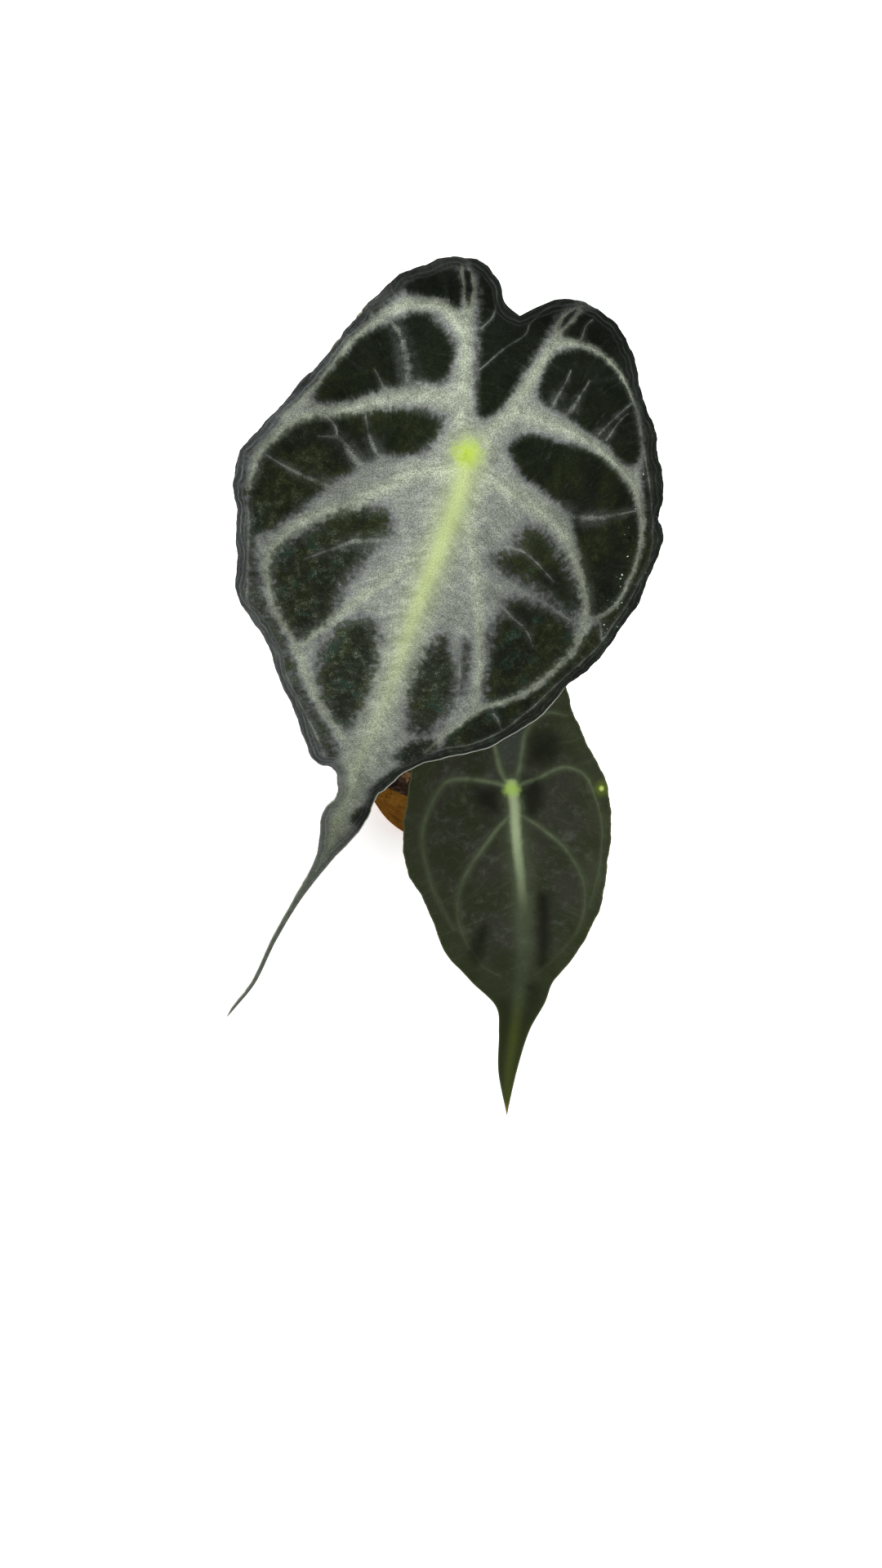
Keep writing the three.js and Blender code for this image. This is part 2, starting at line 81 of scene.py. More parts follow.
def apply(piece, name, kind, **settings):
    """Add a modifier with its settings and apply it."""
    modifier = piece.modifiers.new(name, kind)
    for setting, value in settings.items():
        setattr(modifier, setting, value)
    bpy.ops.object.modifier_apply(modifier=modifier.name)


def drilled(piece, sides, radius, depth, place):
    """Cut a round upright hole into a piece, all sizes in millimetres."""
    drill = started("drill", bpy.ops.mesh.primitive_cylinder_add, vertices=sides,
                    radius=radius * MM, depth=depth * MM, location=[at * MM for at in place])
    only(piece)
    apply(piece, "hole", "BOOLEAN", object=drill, solver="EXACT")
    bpy.data.objects.remove(drill)


def finished(piece, replaced=(), material=None, smooth=None):
    """Smooth and finish a piece, and make it part of the plant, which rests as one body."""
    only(piece)
    if smooth:
        bpy.ops.object.shade_smooth_by_angle(angle=math.radians(smooth))
    if material:
        piece.data.materials.append(material)
    bpy.ops.object.transform_apply(location=True, rotation=True, scale=True)
    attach(piece, "root")
    if replaced:
        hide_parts(*replaced)


class Value:
    """A number that a material works out at each point. Arithmetic with it adds nodes."""

    def __init__(self, finish, socket):
        self.finish = finish
        self.socket = socket

    def join(self, operation, *others):
        node = self.finish.node("ShaderNodeMath", {"operation": operation})
        for socket, value in zip(node.inputs, (self, *others)):
            self.finish.feed(socket, value)
        return Value(self.finish, node.outputs[0])

    def __add__(self, other):
        return self.join("ADD", other)

    def __sub__(self, other):
        return self.join("SUBTRACT", other)

    def __mul__(self, other):
        return self.join("MULTIPLY", other)

    def __abs__(self):
        return self.join("ABSOLUTE")

    def range(self, start, end, low=0, high=1):
        """From start to end as low to high, smoothly and no further."""
        node = self.finish.node("ShaderNodeMapRange", {"interpolation_type": "SMOOTHSTEP"})
        for socket, value in zip(node.inputs, (self, start, end, low, high)):
            self.finish.feed(socket, value)
        return Value(self.finish, node.outputs[0])


class Finish:
    """A material whose colour is laid on in coats, each where a value says."""

    def __init__(self, name, color=None):
        self.material = bpy.data.materials.new(name)
        self.material.use_nodes = True
        self.tree = self.material.node_tree
        self.shader = self.tree.nodes["Principled BSDF"]
        self.place = self.node("ShaderNodeTexCoord").outputs["Object"]
        self.color = color

    def node(self, kind, settings=None, **inputs):
        node = self.tree.nodes.new(kind)
        for name, value in (settings or {}).items():
            setattr(node, name, value)
        for name, value in inputs.items():
            self.feed(node.inputs[name], value)
        return node

    def feed(self, socket, value):
        value = getattr(value, "socket", value)
        if isinstance(value, bpy.types.NodeSocket):
            self.tree.links.new(value, socket)
        elif socket.type == "RGBA":
            socket.default_value = (*value, 1)
        else:
            socket.default_value = value

    def axis(self, name):
        """How far along X, Y or Z a point lies, in millimetres."""
        return Value(self, self.node("ShaderNodeSeparateXYZ", Vector=self.place).outputs[name]) * (1 / MM)

    def marks(self, *names):
        """The values that a piece's mesh carries under these names."""
        nodes = [self.node("ShaderNodeAttribute", {"attribute_name": name}) for name in names]
        return [Value(self, node.outputs["Fac"]) for node in nodes]

    def noise(self, size, detail=2, where=None, stretch=None, rough=0.5, warp=0):
        """Cloudy pattern of 0 to 1 with features about size millimetres wide. It fills space,
        stretched if need be, or follows three values in millimetres."""
        scale = 1 / (size * MM)
        source = self.place
        if where:
            scale = 1 / size
            source = self.node("ShaderNodeCombineXYZ", X=where[0], Y=where[1], Z=where[2]).outputs[0]
        if stretch:
            source = self.node("ShaderNodeMapping", Vector=source, Scale=stretch).outputs[0]
        node = self.node("ShaderNodeTexNoise", Vector=source, Scale=scale, Detail=detail,
                         Roughness=rough, Distortion=warp)
        return Value(self, node.outputs["Fac"])

    def blend(self, factor, first, second, kind="MIX"):
        node = self.node("ShaderNodeMix", {"data_type": "RGBA", "blend_type": kind})
        for number, value in ((0, factor), (6, first), (7, second)):
            self.feed(node.inputs[number], value)
        return Value(self, node.outputs[2])

    def ramp(self, value, stops):
        """Colours that follow a value of 0 to 1, each stop a place and a colour."""
        node = self.node("ShaderNodeValToRGB", Fac=value)
        elements = node.color_ramp.elements
        while len(elements) < len(stops):
            elements.new(0.5)
        for element, (place, color) in zip(elements, stops):
            element.position = place
            element.color = (*color, 1)
        return Value(self, node.outputs["Color"])

    def coat(self, factor, color):
        """Lay a colour over the colour so far, as thick as factor says."""
        self.color = self.blend(factor, self.color, color)

    def shade(self, factor):
        """Darken or lighten the colour so far."""
        self.color = self.blend(1, self.color, factor, "MULTIPLY")

    def done(self, roughness, height=None, depth=0.1, strength=1, specular=0.5):
        """Join colour, roughness and a relief of depth millimetres to the shader."""
        self.feed(self.shader.inputs["Base Color"], self.color)
        self.feed(self.shader.inputs["Roughness"], roughness)
        self.shader.inputs["Specular IOR Level"].default_value = specular
        if height:
            bump = self.node("ShaderNodeBump", Height=height, Strength=strength, Distance=depth * MM)
            self.feed(self.shader.inputs["Normal"], bump.outputs["Normal"])
        return self.material


def wall_radius(height):
    share = height / POT_HEIGHT
    return POT_BASE_RADIUS + share * (POT_RIM_RADIUS - COLLAR_STEP - POT_BASE_RADIUS)


def glaze_finish():
    finish = Finish("caramel glaze", GLAZE_DARK)
    height = finish.axis("Z")
    pooled = finish.noise(9, 3, warp=0.6)
    fine = finish.noise(0.9, 3)
    runs = finish.noise(6, 4, stretch=(1, 1, 0.45), rough=0.6, warp=0.8)
    finish.coat(runs.range(0.3, 0.66), GLAZE_BROWN)
    finish.coat(pooled.range(0.45, 0.75, 0, 0.55), GLAZE_THIN)
    step = abs(height - (COLLAR_FOOT + 0.8)).range(0.3, 1.3, 0.5, 0)
    rim = height.range(POT_HEIGHT - 1.6, POT_HEIGHT, 0, 0.7)
    finish.coat(step.join("MAXIMUM", rim) * fine.range(0.3, 0.7), GLAZE_THIN)
    bare = (height - pooled * 1.6).range(GLAZE_FOOT, GLAZE_FOOT + 0.3, 1, 0)
    finish.coat(bare, finish.blend(fine.range(0.3, 0.7, 0, 0.5), CLAY, CLAY_DARK))
    rings = (height * (2 * math.pi / THROWING_RING)).join("SINE")
    roughness = pooled.range(0.3, 0.7, 0.42, 0.55).join("MAXIMUM", bare * 0.85)
    return finish.done(roughness, rings * 0.12 + pooled + fine * 0.25, 0.5, 0.6, 0)


COLLAR_FOOT = POT_HEIGHT - COLLAR_HEIGHT
pot = started("pot_glazed", bpy.ops.mesh.primitive_circle_add, vertices=128,
              radius=POT_BASE_RADIUS * MM, fill_type="NGON")
bpy.ops.object.mode_set(mode="EDIT")
bpy.ops.mesh.select_all(action="SELECT")
pot_outline = [
    (wall_radius(COLLAR_FOOT / 2), COLLAR_FOOT / 2),
    (wall_radius(COLLAR_FOOT), COLLAR_FOOT),
    (wall_radius(COLLAR_FOOT) + COLLAR_STEP, COLLAR_FOOT + COLLAR_SLOPE),
    (POT_RIM_RADIUS, POT_HEIGHT),
    (wall_radius(POT_HEIGHT) - POT_WALL + 1, POT_HEIGHT),
    (wall_radius(COLLAR_FOOT) - POT_WALL, COLLAR_FOOT),
    (wall_radius(POT_FLOOR) - POT_WALL, POT_FLOOR),
]
last_radius, last_height = POT_BASE_RADIUS, 0
for radius, height in pot_outline:
    rise = (height - last_height) * MM
    scale = radius / last_radius
    bpy.ops.mesh.extrude_region_move(TRANSFORM_OT_translate={"value": (0, 0, rise)})
    bpy.ops.transform.resize(value=(scale, scale, 1), center_override=(0, 0, height * MM))
    last_radius, last_height = radius, height
bpy.ops.mesh.select_all(action="SELECT")
bpy.ops.mesh.normals_make_consistent(inside=False)
bpy.ops.object.mode_set(mode="OBJECT")
apply(pot, "edges", "BEVEL", width=POT_EDGE * MM, segments=4, limit_method="ANGLE",
      angle_limit=math.radians(20))
for quarter in range(4):
    angle = math.radians(45 + 90 * quarter)
    place = (DRAIN_HOLE_PLACE * math.cos(angle), DRAIN_HOLE_PLACE * math.sin(angle), 0)
    drilled(pot, 32, DRAIN_HOLE_RADIUS, 3 * POT_FLOOR, place)
finished(pot, ["pot"], glaze_finish(), smooth=35)

# Potting mix
# A loose aroid mix fills the pot to just below the rim: dark peat as the body, with bark chips,
# white perlite and crumbs lying loose on top. The stalks stand in holes in it.
SOIL_TOP = 53
SOIL_BUMP = 0.9
GAP = 0.3
STALK_FOOT = 46
LARGE_FOOT = (1.5, 2.5)
SMALL_FOOT = (8.5, -6.5)
LARGE_FOOT_RADIUS = 4.2
SMALL_FOOT_RADIUS = 3.3
SHEATH_WALL = 0.7
HOLE_DEPTH = 20
PEAT_DARK = (0.018, 0.010, 0.006)
PEAT_BROWN = (0.06, 0.034, 0.02)
PEAT_FIBRE = (0.13, 0.085, 0.05)
BARK_DARK = (0.04, 0.019, 0.008)
BARK_RED = (0.15, 0.074, 0.03)
BARK_PALE = (0.2, 0.125, 0.065)
PERLITE = (0.68, 0.66, 0.6)
PERLITE_DIRT = (0.42, 0.34, 0.25)
PERLITE_PORE = (0.35, 0.32, 0.28)
rng = np.random.default_rng(11)


def smoothstep(value, start, end):
    """0 before start, 1 after end and smooth between them."""
    part = np.clip((value - start) / (end - start), 0, 1)
    return part * part * (3 - 2 * part)


def soil_height(x, y):
    lumps = np.sin(0.55 * x + 1) * np.cos(0.5 * y) + 0.6 * np.sin(0.9 * y + 0.35 * x)
    return SOIL_TOP + SOIL_BUMP * lumps * (1 - smoothstep(np.hypot(x, y), 0.88 * SOIL_RIM, SOIL_RIM))


def points_of(mesh):
    flat = np.empty(3 * len(mesh.vertices))
    mesh.vertices.foreach_get("co", flat)
    return flat.reshape(-1, 3)


def set_points(mesh, points):
    mesh.vertices.foreach_set("co", np.ascontiguousarray(points, dtype=np.float32).ravel())
    mesh.update()


def free_spots(count, clear, fade_and_shade):
    """Random places on the mix, at least clear from both stalks and within far of the axis."""
    spots = []
    while len(spots) < count:
        radius = fade_and_shade * math.sqrt(rng.random())
        angle = 2 * math.pi * rng.random()
        spot = (radius * math.cos(angle), radius * math.sin(angle))
        off_large = math.dist(spot, LARGE_FOOT) - LARGE_FOOT_RADIUS
        off_small = math.dist(spot, SMALL_FOOT) - SMALL_FOOT_RADIUS
        if min(off_large, off_small) > clear:
            spots.append(spot)
    return spots


def strewn(name, spots, sizes, jag, sink):
    """Copies of a small rough stone, each turned and stretched its own way, lying on the mix."""
    stone = started(name, bpy.ops.mesh.primitive_ico_sphere_add, subdivisions=2, radius=1)
    shape = points_of(stone.data)
    corners = np.array([tuple(face.vertices) for face in stone.data.polygons])
    points, faces = [], []
    for spot, size in zip(spots, sizes):
        warped = shape * (1 + jag * (rng.random((len(shape), 1)) - 0.5))
        tilt = Matrix.Rotation(rng.normal(0, 0.35), 3, "X") @ Matrix.Rotation(rng.normal(0, 0.35), 3, "Y")
        turn = np.array(tilt @ Matrix.Rotation(rng.random() * 2 * math.pi, 3, "Z"))
        middle = (*spot, soil_height(*spot) + min(size) * (1 - sink))
        faces.append(corners + len(shape) * len(points))
        points.append(((warped * size) @ turn.T + middle) * MM)
    stone.data.clear_geometry()
    stone.data.from_pydata(np.concatenate(points).tolist(), [], np.concatenate(faces).tolist())
    return stone


def peat_finish():
    finish = Finish("peat", PEAT_DARK)
    clods = finish.noise(3.5, 4, rough=0.7)
    grains = finish.noise(0.6, 4, rough=0.7)
    fibre = finish.noise(1.2, 3, stretch=(0.2, 1, 1))
    finish.coat(clods.range(0.35, 0.65), PEAT_BROWN)
    finish.coat(fibre.range(0.62, 0.7, 0, 0.6), PEAT_FIBRE)
    return finish.done(0.95, clods + grains * 0.6, depth=1.2, specular=0.2)


def bark_finish():
    finish = Finish("bark", BARK_DARK)
    grain = finish.noise(1.4, 4, stretch=(1, 0.3, 1))
    finish.coat(grain.range(0.35, 0.65), BARK_RED)
    finish.coat(finish.noise(4, 2).range(0.5, 0.7, 0, 0.5), BARK_PALE)
    return finish.done(0.85, grain, depth=0.5, specular=0.25)


def perlite_finish():
    finish = Finish("perlite", PERLITE)
    pores = finish.noise(0.5, 3, rough=0.7)
    finish.coat(finish.noise(2.5, 2).range(0.5, 0.75, 0, 0.5), PERLITE_DIRT)
    finish.coat(pores.range(0.3, 0.45, 0.6, 0), PERLITE_PORE)
    return finish.done(0.9, pores, depth=0.3, specular=0.2)


SOIL_RIM = wall_radius(SOIL_TOP) - POT_WALL - GAP
soil = started("soil_mix", bpy.ops.mesh.primitive_grid_add, x_subdivisions=110, y_subdivisions=110,
               size=2 * MM)
square = points_of(soil.data) / MM
reach = np.abs(square[:, :2]).max(axis=1)
round_off = np.hypot(square[:, 0], square[:, 1])
disc = square[:, :2] * (reach / np.maximum(round_off, 1e-9))[:, None] * SOIL_RIM
rough = 0.25 * (rng.random(len(disc)) - 0.5) * (reach < 0.98)
set_points(soil.data, np.column_stack([disc, soil_height(disc[:, 0], disc[:, 1]) + rough]) * MM)
bpy.ops.object.mode_set(mode="EDIT")
bpy.ops.mesh.select_all(action="DESELECT")
bpy.ops.mesh.select_mode(type="EDGE")
bpy.ops.mesh.select_non_manifold(extend=False)
soil_bottom = POT_FLOOR + GAP
foot_scale = (wall_radius(soil_bottom) - POT_WALL - GAP) / SOIL_RIM
drop = (soil_bottom - SOIL_TOP) * MM
bpy.ops.mesh.extrude_region_move(TRANSFORM_OT_translate={"value": (0, 0, drop)})
bpy.ops.transform.resize(value=(foot_scale, foot_scale, 0), center_override=(0, 0, soil_bottom * MM))
bpy.ops.mesh.edge_face_add()
bpy.ops.mesh.select_all(action="SELECT")
bpy.ops.mesh.normals_make_consistent(inside=False)
bpy.ops.object.mode_set(mode="OBJECT")
hole_middle = STALK_FOOT + HOLE_DEPTH / 2 - GAP
drilled(soil, 40, LARGE_FOOT_RADIUS + 3 * GAP + SHEATH_WALL, HOLE_DEPTH, (*LARGE_FOOT, hole_middle))
drilled(soil, 40, SMALL_FOOT_RADIUS + GAP, HOLE_DEPTH, (*SMALL_FOOT, hole_middle))
finished(soil, ["soil"], peat_finish(), smooth=50)

chips = free_spots(95, 3.4, SOIL_RIM - 3.5)
chip_sizes = [(2.2, 1.4, 0.7) + (1.5, 0.8, 0.4) * rng.random(3) for _ in chips]
finished(strewn("bark_chips", chips, chip_sizes, jag=0.5, sink=0.35), material=bark_finish())

grains = [spot for spot in free_spots(60, 2, SOIL_RIM - 2) if max(spot) > -8]
grain_sizes = [np.array((1.15, 0.9, 0.75)) * (0.45 + 0.7 * rng.random()) for _ in grains]
perlite = strewn("perlite_grains", grains, grain_sizes, jag=0.75, sink=0.35)
finished(perlite, material=perlite_finish(), smooth=40)

crumbs = free_spots(420, 0.9, SOIL_RIM - 1.2)
crumb_sizes = [(0.5, 0.4, 0.3) + (0.5, 0.4, 0.3) * rng.random(3) for _ in crumbs]
finished(strewn("peat_crumbs", crumbs, crumb_sizes, jag=0.6, sink=0.3), material=peat_finish())

# Rootstock
# The short rhizome with its thick roots, ringed with the scars of old leaves. It lies buried in
# the mix, so the plain solid stays and takes a corky finish.
SCAR_SPACING = 4
ROOT_PALE = (0.5, 0.39, 0.24)
ROOT_SCAR = (0.2, 0.12, 0.06)


def root_finish():
    finish = Finish("corky root", ROOT_PALE)
    rings = (finish.axis("Z") * (2 * math.pi / SCAR_SPACING)).join("SINE")
    cork = finish.noise(1.5, 4, rough=0.6)
    finish.coat(rings.range(0.6, 1, 0, 0.7), ROOT_SCAR)
    finish.coat(cork.range(0.5, 0.7, 0, 0.6), ROOT_SCAR)
    return finish.done(0.8, cork, depth=0.6, specular=0.3)


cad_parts["rootstock"].data.materials.clear()
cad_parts["rootstock"].data.materials.append(root_finish())

# Leaf stalks
# Each leaf stands on a round, fleshy stalk that widens into a sheath where it grasps the
# rhizome. The skin is green with fine dark mottling and turns paler under the blade.
STALK_GREEN = (0.13, 0.19, 0.045)
STALK_PALE = (0.3, 0.37, 0.12)
STALK_MOTTLE = (0.035, 0.03, 0.018)
STALK_FOOT_PALE = (0.36, 0.34, 0.2)
STALK_FLESH = (0.001, 0.0015, 0.0005)
LARGE_STALK_RADIUS = 2
SMALL_STALK_RADIUS = 1.6
STALK_CAP = 0.5
LARGE = {
    "attachment": (6.6, 11.3, 202.2),
    "incline": 44,
    "turn": -17,
    "bow": (0.105, -0.0012),
    "dome": 0.0032,
    "pillow": 0.45,
    "ruffle": 1.0,
    "ruffle_rows": (2, 22),
    "ruffle_width": 15,
    "hub_radius": 2.7,
    "hub_drop": 2.8,
}
SMALL = {
    "attachment": (20.2, -40.7, 98.2),
    "incline": 38,
    "turn": 0,
    "bow": (0.1, -0.0014),
    "dome": 0.0045,
    "pillow": 0,
    "ruffle": 0.7,
    "ruffle_rows": (2, 16),
    "ruffle_width": 8.5,
    "hub_radius": 2.1,
    "hub_drop": 2.4,
}


def curve_through(places, steps):
    """Centripetal spline through the places, as steps + 1 points evenly spaced along it."""
    places = np.array(places, float)
    ends = np.vstack([2 * places[0] - places[1], places, 2 * places[-1] - places[-2]])
    dense = []
    for first in range(len(places) - 1):
        p = ends[first:first + 4]
        t = np.concatenate([[0], np.cumsum(np.linalg.norm(np.diff(p, axis=0), axis=1) ** 0.5)])
        for at in np.linspace(t[1], t[2], 40, endpoint=False):
            a = [(p[i] * (t[i + 1] - at) + p[i + 1] * (at - t[i])) / (t[i + 1] - t[i]) for i in range(3)]
            b = [(a[i] * (t[i + 2] - at) + a[i + 1] * (at - t[i])) / (t[i + 2] - t[i]) for i in range(2)]
            dense.append((b[0] * (t[2] - at) + b[1] * (at - t[1])) / (t[2] - t[1]))
    dense = np.array([*dense, places[-1]])
    length = np.concatenate([[0], np.cumsum(np.linalg.norm(np.diff(dense, axis=0), axis=1))])
    even = np.linspace(0, length[-1], steps + 1)
    return np.column_stack([np.interp(even, length, dense[:, axis]) for axis in range(3)])


def stalk_finish():
    finish = Finish("mottled stalk", STALK_GREEN)
    mottle = finish.noise(1.6, 3, stretch=(1, 1, 0.35), rough=0.65)
    flecks = finish.noise(0.5, 2, stretch=(1, 1, 0.35))
    lines = finish.noise(0.35, 2, stretch=(1, 1, 0.03))
    finish.coat(finish.noise(14, 2).range(0.3, 0.7, 0, 0.35), STALK_PALE)
    finish.coat(mottle.range(0.52, 0.62, 0, 0.75), STALK_MOTTLE)
    finish.coat(flecks.range(0.64, 0.72, 0, 0.35), STALK_PALE)
    finish.coat(finish.axis("Z").range(STALK_FOOT + 6, STALK_FOOT + 22, 0.75, 0), STALK_FOOT_PALE)
    finish.shader.inputs["Subsurface Weight"].default_value = 0.08
    finish.shader.inputs["Subsurface Radius"].default_value = STALK_FLESH
    return finish.done(mottle.range(0.3, 0.7, 0.34, 0.5), lines, depth=0.15)


def petiole(name, slot, places, foot_radius, stalk_radius, steps):
    """A stalk as a tube along its curve: broad at the foot, slim, and fuller at the blade."""
    stalk = started(name, bpy.ops.curve.primitive_nurbs_path_add)
    stalk.data.splines.clear()
    line = stalk.data.splines.new("POLY")
    line.points.add(steps)
    for index, place in enumerate(curve_through(places, steps)):
        share = index / steps
        slim = float(smoothstep(share, 0.02, 0.45))
        swell = STALK_CAP * share ** 8
        line.points[index].co = (*(place * MM), 1)
        line.points[index].radius = foot_radius + slim * (stalk_radius - foot_radius) + swell
    stalk.data.dimensions = "3D"
    stalk.data.bevel_depth = MM
    stalk.data.bevel_resolution = 10
    stalk.data.use_fill_caps = True
    only(stalk)
    bpy.ops.object.convert(target="MESH")
    stalk = bpy.context.active_object
    stalk.data.materials.clear()
    finished(stalk, [slot], mottled, smooth=60)


def turning(blade):
    """The turn of a blade's own frame in the plant's frame."""
    lean = Matrix.Rotation(math.radians(blade["incline"]), 3, "X")
    return np.array(lean @ Matrix.Rotation(math.radians(blade["turn"]), 3, "Z"))


def under_hub(blade, depth):
    """The place below the point where a stalk meets its blade, square to the blade."""
    normal = np.array([0, blade["bow"][0], 1.0])
    below = -(blade["hub_drop"] + depth) * normal / np.linalg.norm(normal)
    return np.array(blade["attachment"]) + turning(blade) @ below


mottled = stalk_finish()
large_bends = [(1, 6, 90), (1.5, 14, 145), (4.5, 19.5, 184), under_hub(LARGE, 5), under_hub(LARGE, GAP)]
small_bends = [(10.5, -11, 69), (15, -24, 83), under_hub(SMALL, 5), under_hub(SMALL, GAP)]
for size, foot, bends, foot_radius, stalk_radius, steps in (
    ("large", LARGE_FOOT, large_bends, LARGE_FOOT_RADIUS, LARGE_STALK_RADIUS, 150),
    ("small", SMALL_FOOT, small_bends, SMALL_FOOT_RADIUS, SMALL_STALK_RADIUS, 80),
):
    places = [(*foot, STALK_FOOT), (*foot, STALK_FOOT + 9), *bends]
    petiole("stalk_" + size, "petiole_" + size, places, foot_radius, stalk_radius, steps)

# Sheath
# The dry, papery cataphyll that once covered the growing leaf. It wraps the foot of the big
# stalk, open at one side, and its long fibres run up to a torn point.
SHEATH_HEIGHT = 34
SHEATH_HALF_OPEN = 0.72 * math.pi
SHEATH_FLARE = 5
SHEATH_BROWN = (0.36, 0.23, 0.125)
SHEATH_PALE = (0.6, 0.47, 0.3)
SHEATH_DARK = (0.16, 0.08, 0.036)


def sheath_finish():
    finish = Finish("papery sheath", SHEATH_BROWN)
    fibres = finish.noise(0.7, 3, stretch=(1, 1, 0.05))
    finish.coat(fibres.range(0.35, 0.65), SHEATH_PALE)
    finish.coat(finish.noise(6, 3).range(0.5, 0.72, 0, 0.7), SHEATH_DARK)
    return finish.done(0.8, fibres, depth=0.35, specular=0.3)


sheath = started("sheath_papery", bpy.ops.mesh.primitive_grid_add, x_subdivisions=72, y_subdivisions=64,
                 size=2)
across, up = points_of(sheath.data)[:, 0], (points_of(sheath.data)[:, 1] + 1) / 2
facing = math.atan2(LARGE_FOOT[1] - SMALL_FOOT[1], LARGE_FOOT[0] - SMALL_FOOT[0])
torn = (0.05 * np.abs(np.sin(17 * up + 0.6)) + 0.03 * np.abs(np.sin(53 * up))) * np.sqrt(up)
width = SHEATH_HALF_OPEN * (1 - 0.98 * up ** 1.7) * (1 - torn)
angle = facing + width * across
radius = LARGE_FOOT_RADIUS + GAP + SHEATH_WALL / 2 + SHEATH_FLARE * up ** 3 + 0.5 * up
radius = radius + up * (0.2 * np.sin(5 * angle + 3 * up) + 0.12 * np.sin(19 * angle))
sheath_points = np.column_stack([
    LARGE_FOOT[0] + radius * np.cos(angle),
    LARGE_FOOT[1] + radius * np.sin(angle),
    STALK_FOOT + SHEATH_HEIGHT * up,
])
set_points(sheath.data, sheath_points * MM)
bpy.ops.object.mode_set(mode="EDIT")
bpy.ops.mesh.select_all(action="SELECT")
bpy.ops.mesh.flip_normals()
bpy.ops.object.mode_set(mode="OBJECT")
apply(sheath, "wall", "SOLIDIFY", thickness=0.6 * SHEATH_WALL * MM, offset=0)
finished(sheath, ["cataphyll"], sheath_finish(), smooth=50)

# Blades
# Two thick, leathery leaves that hang from their stalks with the lobes up and the drawn-out tips
# down. Sunken silver veins part dark, pillowed islands; the ribs stand out beneath.
BLADE_THICKNESS = 0.8
BATCH = 4000
MARGIN_STEPS = 12
VEIN_STEPS = 8
# Rows from the notch to the tip, each the midrib's, the left and the right margin's place: u across
# and v down from the stalk
LARGE["rows"] = [
    (2.5, -36, 2.5, -36, 2.5, -36),
    (2.2, -34.5, -2, -38, 7, -40),
    (2, -32, -5, -42.5, 12, -43),
    (1.7, -29, -11, -45.5, 20, -43),
    (1.5, -25.5, -19.5, -43.5, 28.5, -39),
    (1.2, -21.5, -27, -38, 34.5, -32),
    (0.9, -17.5, -32.5, -30.5, 38.5, -25),
    (0.6, -13.5, -36.5, -22, 44, -18.5),
    (0.3, -9.5, -40, -13.5, 47.5, -11.5),
    (0, -5, -45, -2.5, 51.5, -4.5),
    (0, 0, -50.5, 8.5, 53, 3.5),
    (0, 5, -54.5, 17.5, 56, 9),
    (0, 11, -54.5, 26, 56, 17.5),
    (0, 17.5, -51.5, 34, 55.5, 26),
    (0, 25, -48.5, 44, 53, 36.5),
    (0, 33, -45.5, 55, 49, 46),
    (-0.2, 41, -37.5, 61.5, 45, 53.5),
    (-0.4, 50, -30, 71, 38.5, 65.5),
    (-0.7, 60, -22.5, 81, 29.5, 75.5),
    (-1, 71, -15.5, 91, 17, 82.5),
    (-1.3, 83, -8.5, 93.5, 8, 92),
    (-1.6, 94, -5.5, 100, 5, 98),
    (-2.5, 106, -7.5, 108.5, 4, 108.5),
    (-3.1, 121.5, -5.5, 122, -0.8, 121),
    (-6.6, 137.5, -7.6, 137.8, -5.6, 137.2),
    (-9.2, 154, -9.9, 154.1, -8.5, 153.9),
    (-10.7, 171, -11.3, 171.2, -10.1, 170.8),
    (-13.6, 182.5, -14.1, 182.7, -13.1, 182.3),
    (-14.9, 188, -14.9, 188, -14.9, 188),
]
SMALL["rows"] = [
    (1, -26, 1, -26, 1, -26),
    (1, -24.5, -2.5, -29.5, 3.5, -29),
    (1, -22, -6.5, -32.5, 7, -32.5),
    (0.8, -19, -13, -33, 14.5, -30.5),
    (0.5, -16, -19, -30, 17, -23),
    (0.3, -12, -25, -22.5, 20, -16),
    (0.2, -8, -28, -12.5, 23.5, -9),
    (0, -4, -29, -2.5, 27, -2),
    (0.3, 1, -30, 5, 28.5, 5),
    (1, 6.5, -31, 12, 29, 12),
    (1.7, 12.5, -31, 20, 28.5, 20.5),
    (2.2, 19, -29.5, 27.5, 27.5, 29),
    (2.8, 26, -25.5, 34, 26, 37.5),
    (3.2, 33.5, -22, 43, 22.5, 45),
    (3.5, 42, -18, 52, 18.5, 52.5),
    (3.5, 51, -11.5, 59.5, 13, 59),
    (3, 61, -4, 67.5, 10.5, 66.5),
    (1.7, 73, -3, 76.5, 6, 76),
    (0.2, 88, -3, 90, 2.5, 90),
    (-0.2, 106, -0.2, 106, -0.2, 106),
]
